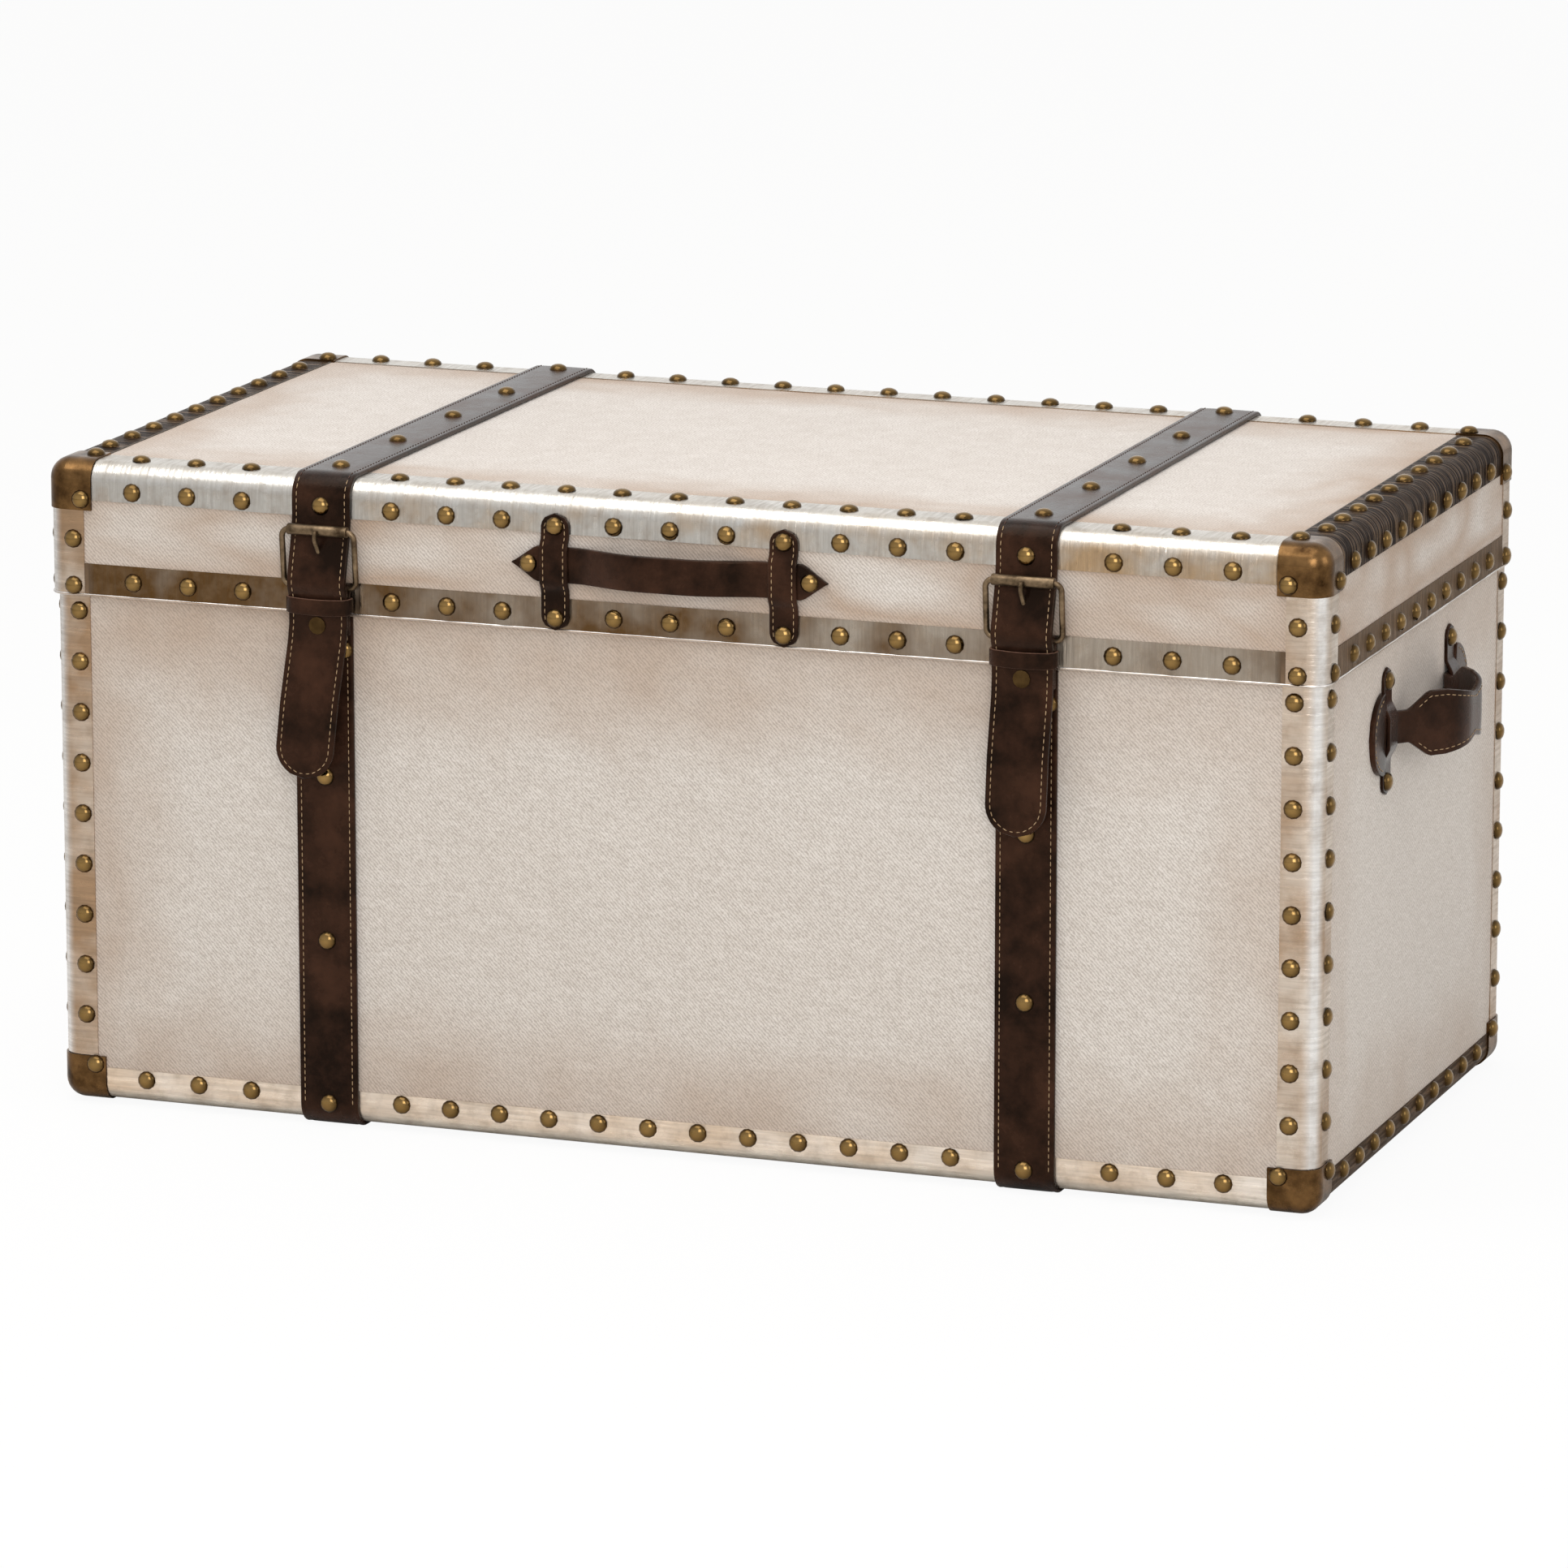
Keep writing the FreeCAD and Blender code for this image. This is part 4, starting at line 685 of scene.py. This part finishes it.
def sew(bm, rows, height):
    """Puts stitches along rows of points on the flat leather."""
    for row in rows:
        reached, total = along([Vector(p) for p in row])
        count = round(total / stitch_pitch)
        for i in range(count):
            point, run = reached((i + 0.5) * total / count)
            way = Matrix.Rotation(math.atan2(run.y, run.x), 4, "Z")
            lie = Matrix.Translation((point.x, point.y, height)) @ way
            made = bmesh.ops.create_icosphere(bm, subdivisions=1, radius=1,
                                              matrix=lie @ Matrix.Diagonal(stitch_half).to_4x4())
            for f in {f for v in made["verts"] for f in v.link_faces}:
                f.material_index = tan_seam


def lay(bm, line, spread):
    """Bends the flat leather along a line; spread gives the place for a point off the line and a width."""
    reached = along(line)[0]
    for v in bm.verts:
        point, run = reached(v.co.x)
        off = point + Vector((run.y, -run.x)) * v.co.z
        v.co = spread(off, v.co.y)


strap_half = 21 * mm
strap_thickness = 3 * mm
strap_crown = 0.3 * mm
strap_columns = (-1, -0.9, -0.83, -0.75, -0.45, 0, 0.45, 0.75, 0.83, 0.9, 1)
stitch_height = strap_thickness / 2 + stitch_lift
strap_places = {"left": -248 * mm, "right": 248 * mm}
tongue_slants = {"left": -8 * mm, "right": -2 * mm}
strap_bend = 14.5
lid_strap_points = [(231.5, 357.4), (231.5, 448.9), (-221.5, 448.9), (-221.5, 421.4)]
tongue_points = [(-222.7, 412.2), (-232.3, 377.4), (-228.5, 368.4), (-228.5, 337.5), (-234.0, 296.8),
                 (-235.5, 245.0)]
lid_strap_bends = [strap_bend, strap_bend, 20, 20, 12, 12, 40, 60]
lid_top = 447.4 * mm
slant_from = 349.5 * mm
slant_to = 266 * mm
tip_steps = 16
least_half = 0.4 * mm
seam_start = 4 * mm
base_strap_points = [(-219, 354.6), (-219, 1.5), (231.5, 1.5), (231.5, 353)]
base_seam = 338 * mm
base_seam_gap = 3 * mm

for side, x in strap_places.items():
    slant = tongue_slants[side]
    line = bent_line(lid_strap_points + tongue_points, lid_strap_bends)
    total = along(line)[1]

    def tongue_half(length):
        past = max(length - (total - strap_half), 0)
        return math.sqrt(max(strap_half ** 2 - past ** 2, least_half ** 2))

    def hang(off, across):
        lean = 0
        if off.x < 0:
            lean = slant * min(max((slant_from - off.y) / (slant_from - slant_to), 0), 1)
        return Vector((x + across + lean, off.x, off.y))

    bm = cut_leather(total, strap_thickness, tongue_half, strap_crown, strap_columns)
    inner = strap_half - stitch_inset
    turn = [(total - strap_half + inner * math.sin(a), inner * math.cos(a))
            for a in (math.pi * i / tip_steps for i in range(tip_steps + 1))]
    sew(bm, [[(seam_start, inner)] + turn + [(seam_start, -inner)]], stitch_height)
    lay(bm, line, hang)
    for f in bm.faces:
        if f.material_index and f.calc_center_median().z > lid_top:
            f.material_index = dark_seam
    piece = finish_piece(bm, side + "_strap_and_tongue", leather_materials, "leather",
                         side + "_lid_strap", side + "_tongue")
    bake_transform(piece)

    line = bent_line(base_strap_points, [strap_bend, strap_bend])
    total = along(line)[1]
    bm = cut_leather(total, strap_thickness, lambda length: strap_half, 0, strap_columns)
    for start in (base_seam_gap, total - base_seam):
        stop = start + base_seam - base_seam_gap
        sew(bm, [[(start, y), (stop, y)] for y in (inner, -inner)], stitch_height)
    lay(bm, line, lambda off, across: Vector((x + across, off.x, off.y)))
    piece = finish_piece(bm, side + "_base_strap_hide", leather_materials, "leather", side + "_base_strap")
    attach(piece, "base")


# Buckles: a bent steel frame with a loose roller on its upper bar and a flat pin from its lower bar,
# plated and browned like old bronze, held by a folded leather tab behind the tongue.
bronze, tree, shader, place = start_material("browned_bronze_plate")
# Browned plate is dark and half dull, and paler where leather and fingers have rubbed it.
shader.inputs["Metallic"].default_value = 1
rub_size = 9 * mm
rubs = add_node(tree, "TexNoise", {"Vector": place, "Scale": 1 / rub_size, "Detail": 5, "Roughness": 0.65})
kept = add_node(tree, "MapRange", {"Value": rubs.outputs[0], 1: 0.34, 2: 0.66, 3: 0, 4: 1})
tone = add_node(tree, "Mix", {0: kept.outputs[0], 6: hex_colour("#392D20"), 7: hex_colour("#836F57")},
                data_type="RGBA")
tree.links.new(tone.outputs[2], shader.inputs["Base Color"])
rough = add_node(tree, "MapRange", {"Value": rubs.outputs[0], 1: 0.3, 2: 0.7, 3: 0.5, 4: 0.32})
tree.links.new(rough.outputs[0], shader.inputs["Roughness"])
raised = add_node(tree, "Bump", {"Height": rubs.outputs[0], "Strength": 0.2, "Distance": 0.3 * mm})
tree.links.new(raised.outputs[0], shader.inputs["Normal"])

lower_bar = Vector((-224.8, 374.9)) * mm
upper_bar = Vector((-228.4, 413.73)) * mm
frame_half = 26 * mm
frame_corner = 5.5 * mm
corner_steps = 6
wire_radius = 2 * mm
roller_radius = 3.8 * mm
roller_half = 21.5 * mm
roller_edge = 0.6 * mm
sideways = Matrix.Rotation(math.pi / 2, 4, "Y")
pin_radius = 1.6 * mm
pin_root = lower_bar + Vector((-1.5, 3)) * mm
pin_belly = Vector((-226, 397)) * mm
pin_straight = 408 * mm
tab_radius = 4.1
tab_layer = 2
tab_drop = 32
tab_pinch = 9
tab_flare = 2
tab_parting = 1
tab_bend = 3
tab_round = 0.98
tab_columns = (-1, -0.85, 0, 0.85, 1)

rise = upper_bar - lower_bar
lean = rise.normalized()
wide = frame_half - frame_corner
tall = rise.length - frame_corner
outline = []
for cx, cy, start in ((wide, tall, 0), (-wide, tall, 90),
                      (-wide, frame_corner, 180), (wide, frame_corner, 270)):
    for i in range(corner_steps + 1):
        turn = math.radians(start + 90 * i / corner_steps)
        outline.append((cx + frame_corner * math.cos(turn), cy + frame_corner * math.sin(turn)))

for side, x in strap_places.items():
    ring = [Vector((x + px, lower_bar.x + lean.x * py, lower_bar.y + lean.y * py)) for px, py in outline]
    bm = bent_wire(ring, wire_radius, True)
    piece = finish_piece(bm, side + "_buckle_wire", [bronze], "buckle_metal", side + "_buckle_frame")
    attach(piece, side + "_flap")

    bm = bmesh.new()
    bmesh.ops.create_cone(bm, cap_ends=True, segments=28, radius1=roller_radius, radius2=roller_radius,
                          depth=2 * roller_half,
                          matrix=Matrix.Translation((x, upper_bar.x, upper_bar.y)) @ sideways)
    rims = [e for e in bm.edges if e.calc_face_angle() > rim_angle]
    bmesh.ops.bevel(bm, geom=rims, offset=roller_edge, offset_type="OFFSET", segments=2, profile=0.5,
                    affect="EDGES", material=-1)
    piece = finish_piece(bm, side + "_buckle_roller", [bronze], "buckle_metal", side + "_roller")
    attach(piece, side + "_roller")

    pin_low, pin_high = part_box(side + "_prong")
    front = pin_low.y + pin_radius
    pin = [Vector((x, *pin_root)), Vector((x, *pin_belly)), Vector((x, front, pin_straight)),
           Vector((x, front, pin_high.z - pin_radius))]
    bm = bent_wire(pin, pin_radius, False)
    piece = finish_piece(bm, side + "_buckle_pin", [bronze], "buckle_metal", side + "_prong")
    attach(piece, side + "_flap")

    bar_y = lower_bar.x / mm
    bar_z = lower_bar.y / mm
    mid = tab_radius - tab_layer / 2
    behind = [(tab_parting, -tab_drop), (tab_parting, -tab_pinch), (mid, -tab_flare), (mid, mid)]
    in_front = [(-y, z) for y, z in reversed(behind)]
    tab_points = [(bar_y + y, bar_z + z) for y, z in behind + in_front]
    line = bent_line(tab_points, [tab_bend, tab_bend, mid * tab_round, mid * tab_round, tab_bend, tab_bend])
    total = along(line)[1]
    bm = cut_leather(total, tab_layer * mm, lambda length: strap_half, 0, tab_columns)
    lay(bm, line, lambda off, across: Vector((x + across, off.x, off.y)))
    piece = finish_piece(bm, side + "_folded_tab", leather_materials, "leather", side + "_buckle_tab")
    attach(piece, side + "_flap")


# Keepers: a narrow leather band closed round the tongue and the tab, its cut edges left raw and paler.
# It bows out and droops a little in front, where the tongue has stretched it.
raw_edge, tree, shader, place = start_material("raw_hide_edge")
# The cut edge of hide is fibrous, dry and paler than its dyed face.
fibre_size = 1.5 * mm  # real fibres are finer, drawn coarser so that they show
fibres = add_node(tree, "TexNoise", {"Vector": place, "Scale": 1 / fibre_size, "Detail": 3})
tone = add_node(tree, "Mix", {0: fibres.outputs[0], 6: hex_colour("#4A3024"), 7: hex_colour("#7A5642")},
                data_type="RGBA")
tree.links.new(tone.outputs[2], shader.inputs["Base Color"])
shader.inputs["Roughness"].default_value = 0.8
keeper_bow = 1.6 * mm
keeper_droop = 0.8 * mm
keeper_wall = 2
keeper_low = 357.4 * mm
keeper_high = 368.4 * mm
keeper_half = (keeper_high - keeper_low) / 2
keeper_middle = (keeper_low + keeper_high) / 2
keeper_bends = [2.5, 4, 4, 2.5]
keeper_crown = 0.1 * mm
keeper_columns = (-1, -0.8, 0, 0.8, 1)
raw_reach = 0.6 * edge_round
for side, x in strap_places.items():
    low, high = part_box(side + "_keeper")
    half_x = (high.x - low.x) / 2 / mm - keeper_wall / 2
    near = low.y / mm + keeper_wall / 2
    far = high.y / mm - keeper_wall / 2
    loop = [(0, far), (half_x, far), (half_x, near), (-half_x, near), (-half_x, far), (0, far)]
    line = bent_line(loop, keeper_bends)
    total = along(line)[1]
    bm = cut_leather(total, keeper_wall * mm, lambda length: keeper_half, keeper_crown, keeper_columns)
    for f in bm.faces:
        if abs(f.calc_center_median().y) > keeper_half - raw_reach:
            f.material_index = len(leather_materials)
    middle_y = (low.y + high.y) / 2

    def close_round(off, across):
        bow = max(1 - (off.x / (half_x * mm)) ** 2, 0) if off.y < middle_y else 0
        return Vector((x + off.x, off.y - keeper_bow * bow, keeper_middle + across - keeper_droop * bow))

    lay(bm, line, close_round)
    piece = finish_piece(bm, side + "_keeper_band", leather_materials + [raw_edge], "leather",
                         side + "_keeper")
    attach(piece, side + "_flap")


# Snaps: a flat brass stud set through the tongue below the keeper, over a magnet behind the tab,
# with a steel strike let into the base strap.
dress(dome_brass, "left_snap", "right_snap")
steel, tree, shader, place = start_material("zinc_plated_steel")
# Zinc plate is pale grey and half dull, with a fine speckle.
shader.inputs["Metallic"].default_value = 1
speckle_size = 4 * mm
speckle = add_node(tree, "TexNoise", {"Vector": place, "Scale": 1 / speckle_size, "Detail": 4})
tone = add_node(tree, "Mix", {0: speckle.outputs[0], 6: hex_colour("#8E8C86"), 7: hex_colour("#BDBAB2")},
                data_type="RGBA")
tree.links.new(tone.outputs[2], shader.inputs["Base Color"])
rough = add_node(tree, "MapRange", {"Value": speckle.outputs[0], 1: 0.3, 2: 0.7, 3: 0.5, 4: 0.34})
tree.links.new(rough.outputs[0], shader.inputs["Roughness"])
dress(steel, "snap_strikes", "hinge_base_leaves", "hinge_lid_leaves", "hinge_pins", "stay_base_brackets",
      "stay_lid_brackets", "base_screws", "lid_screws")
for side in ("left", "right"):
    dress(steel, side + "_lower_stay_arm", side + "_upper_stay_arm")


# Front handle: one thick strap with pointed ends, nailed at the points and bowed out for the hand,
# held down by two stitched upright loops that are nailed above and below.
handle_z = 400.9 * mm
handle_half = 12 * mm
handle_point = 17 * mm
handle_tip = 0.3 * mm
handle_thickness = 4 * mm
handle_crown = 0.5 * mm
handle_columns = (-1, -0.85, -0.45, 0, 0.45, 0.85, 1)
handle_points = [(-111, -221), (-62, -221), (-26, -233), (26, -233), (62, -221), (111, -221)]
handle_bends = [30, 75, 75, 30]
line = bent_line(handle_points, handle_bends)
total = along(line)[1]


def handle_width(length):
    """Half the front handle's width at a length along it."""
    end = min(length, total - length)
    return max(handle_half * min(end / handle_point, 1), handle_tip)


bm = cut_leather(total, handle_thickness, handle_width, handle_crown, handle_columns)
lay(bm, line, lambda off, across: Vector((off.x, off.y, handle_z + across)))
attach(finish_piece(bm, "front_handle_hide", leather_materials, "leather", "front_handle"), "lid")

step_bend = 5


def stepped_loop(flat, over, low, high, bump_low, bump_high, ramp):
    """The line of an upright piece that is nailed at both ends and steps over a strap between."""
    stations = [(flat, high), (flat, bump_high + ramp), (over, bump_high), (over, bump_low),
                (flat, bump_low - ramp), (flat, low)]
    return bent_line(stations, [step_bend] * 4)


def round_ended(length, half):
    """Half the width of a strip with round ends, at a length along it."""
    def width(at):
        past = max(half - min(at, length - at), 0)
        return math.sqrt(max(half ** 2 - past ** 2, least_half ** 2))
    return width


def join(bm, part):
    """Moves the mesh of a part into another."""
    made = bpy.data.meshes.new("part")
    part.to_mesh(made)
    part.free()
    bm.from_mesh(made)
    bpy.data.meshes.remove(made)


loop_stitch_inset = 0.8 * stitch_inset
loop_tip_steps = 12


def round_ended_seam(length, half):
    """The closed row of stitches inside the edge of a strip with round ends."""
    inner = half - loop_stitch_inset
    ring = []
    for centre, start in ((length - half, 90), (half, 270)):
        for i in range(loop_tip_steps + 1):
            turn = math.radians(start - 180 * i / loop_tip_steps)
            ring.append((centre + inner * math.cos(turn), inner * math.sin(turn)))
    return ring + ring[:1]


loop_places = (-80.5 * mm, 80.5 * mm)
loop_half = 10 * mm
loop_thickness = 2.5 * mm
loop_crown = 0.1 * mm
loop_columns = (-1, -0.85, -0.7, -0.5, 0, 0.5, 0.7, 0.85, 1)
line = stepped_loop(flat=-221.25, over=-224.65, low=356.4, high=435.4, bump_low=388.9, bump_high=412.9,
                    ramp=6)
total = along(line)[1]
bm = bmesh.new()
for x in loop_places:
    part = cut_leather(total, loop_thickness, round_ended(total, loop_half), loop_crown, loop_columns)
    sew(part, [round_ended_seam(total, loop_half)], loop_thickness / 2 + stitch_lift)
    lay(part, line, lambda off, across: Vector((x + across, off.x, off.y)))
    join(bm, part)
piece = finish_piece(bm, "front_handle_loop_pair", leather_materials, "leather", "front_handle_loops")
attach(piece, "lid")


# End handles: one stitched strap for each end, slim in the grip, wide at the shoulders and cut to a
# half moon at each end, where a nailed upright bridge holds its narrow neck to the wall.
handle_y = 5 * mm
handle_height = 297 * mm
grip_outline = [(0, 15), (32, 22), (42, 22), (54, 11), (84, 11), (85, 28)]
moon_radius = 28
moon_at = 84.5
grip_points = [(448.5, -112.5), (448.5, -64), (486, -20), (486, 20), (448.5, 64), (448.5, 112.5)]
grip_bends = [12, 26, 26, 12]
grip_thickness = 4 * mm
grip_crown = 0.3 * mm
grip_stitch_lift = 0.15 * mm
line = bent_line(grip_points, grip_bends)
reached, total = along(line)


def end_handle_half(length):
    """Half an end handle's width at a length along it."""
    y = abs(reached(length)[0].y) / mm
    if y >= grip_outline[-1][0]:
        return max(math.sqrt(max(moon_radius ** 2 - (y - moon_at) ** 2, 0)) * mm, least_half)
    for (y0, z0), (y1, z1) in zip(grip_outline, grip_outline[1:]):
        if y0 <= y <= y1:
            return (z0 + (z1 - z0) * (y - y0) / (y1 - y0)) * mm


grip_seam_reach = 50 * mm
neck_inner = 47 * mm
neck_outer = 60 * mm
past_ends = 1
grip_steps = 200
moon_seam_inset = 3.5
moon_seam_from = -78
moon_seam_turn = 12
moon_seam_points = 14
steps = [total * i / grip_steps for i in range(grip_steps + 1)]
grip_seam = [s for s in steps if abs(reached(s)[0].y) <= grip_seam_reach]
moon_centre = [s for s in steps if reached(s)[0].y >= moon_at * mm][0]
moon_inner = (moon_radius - moon_seam_inset) * mm
seams = [[(s, sign * (end_handle_half(s) - stitch_inset)) for s in grip_seam] for sign in (-1, 1)]
moon_turns = [math.radians(moon_seam_from + moon_seam_turn * i) for i in range(moon_seam_points)]
moon = [(moon_inner * math.cos(a), moon_inner * math.sin(a)) for a in moon_turns]
seams.append([(moon_centre + a, b) for a, b in moon])
seams.append([(total - moon_centre - a, b) for a, b in moon])

for side, sign in (("left", -1), ("right", 1)):
    whole = cut_leather(total, grip_thickness, end_handle_half, grip_crown, strap_columns)
    sew(whole, seams, grip_thickness / 2 + grip_stitch_lift)
    lay(whole, line, lambda off, across: Vector((sign * off.x, off.y + handle_y, handle_height + across)))
    bmesh.ops.recalc_face_normals(whole, faces=whole.faces)
    for name, low_y, high_y in (("front_moon", -past_ends, -neck_outer),
                                ("front_neck", -neck_outer, -neck_inner),
                                ("grip", -neck_inner, neck_inner), ("back_neck", neck_inner, neck_outer),
                                ("back_moon", neck_outer, past_ends)):
        bm = whole.copy()
        for cut, outward in ((low_y, -1), (high_y, 1)):
            geom = bm.verts[:] + bm.edges[:] + bm.faces[:]
            bmesh.ops.bisect_plane(bm, geom=geom, plane_co=(0, handle_y + cut, 0), plane_no=(0, outward, 0),
                                   clear_outer=True)
            bmesh.ops.holes_fill(bm, edges=[e for e in bm.edges if e.is_boundary], sides=0)
        replaced = {"grip": [side + "_handle_grip"], "front_moon": ["handle_ends"]}.get(name, [])
        piece = finish_piece(bm, side + "_handle_" + name + "_hide", leather_materials, "leather", *replaced)
        if "neck" in name:
            far = -neck_outer if name == "front_neck" else neck_outer
            near = -neck_inner if name == "front_neck" else neck_inner
            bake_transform(piece)
        else:
            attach(piece, side + "_grip" if name == "grip" else "base")
    whole.free()

bridge_half = 9 * mm
bridge_places = (-70.5 * mm, 80.5 * mm)
line = stepped_loop(flat=447.75, over=452.15, low=254, high=340, bump_low=286, bump_high=308, ramp=8)
total = along(line)[1]
bm = bmesh.new()
for sign in (-1, 1):
    for y in bridge_places:
        part = cut_leather(total, loop_thickness, round_ended(total, bridge_half), loop_crown, loop_columns)
        lay(part, line, lambda off, across: Vector((-sign * off.x, y + across, off.y)))
        join(bm, part)
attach(finish_piece(bm, "handle_bridge_set", leather_materials, "leather", "handle_bridges"), "base")
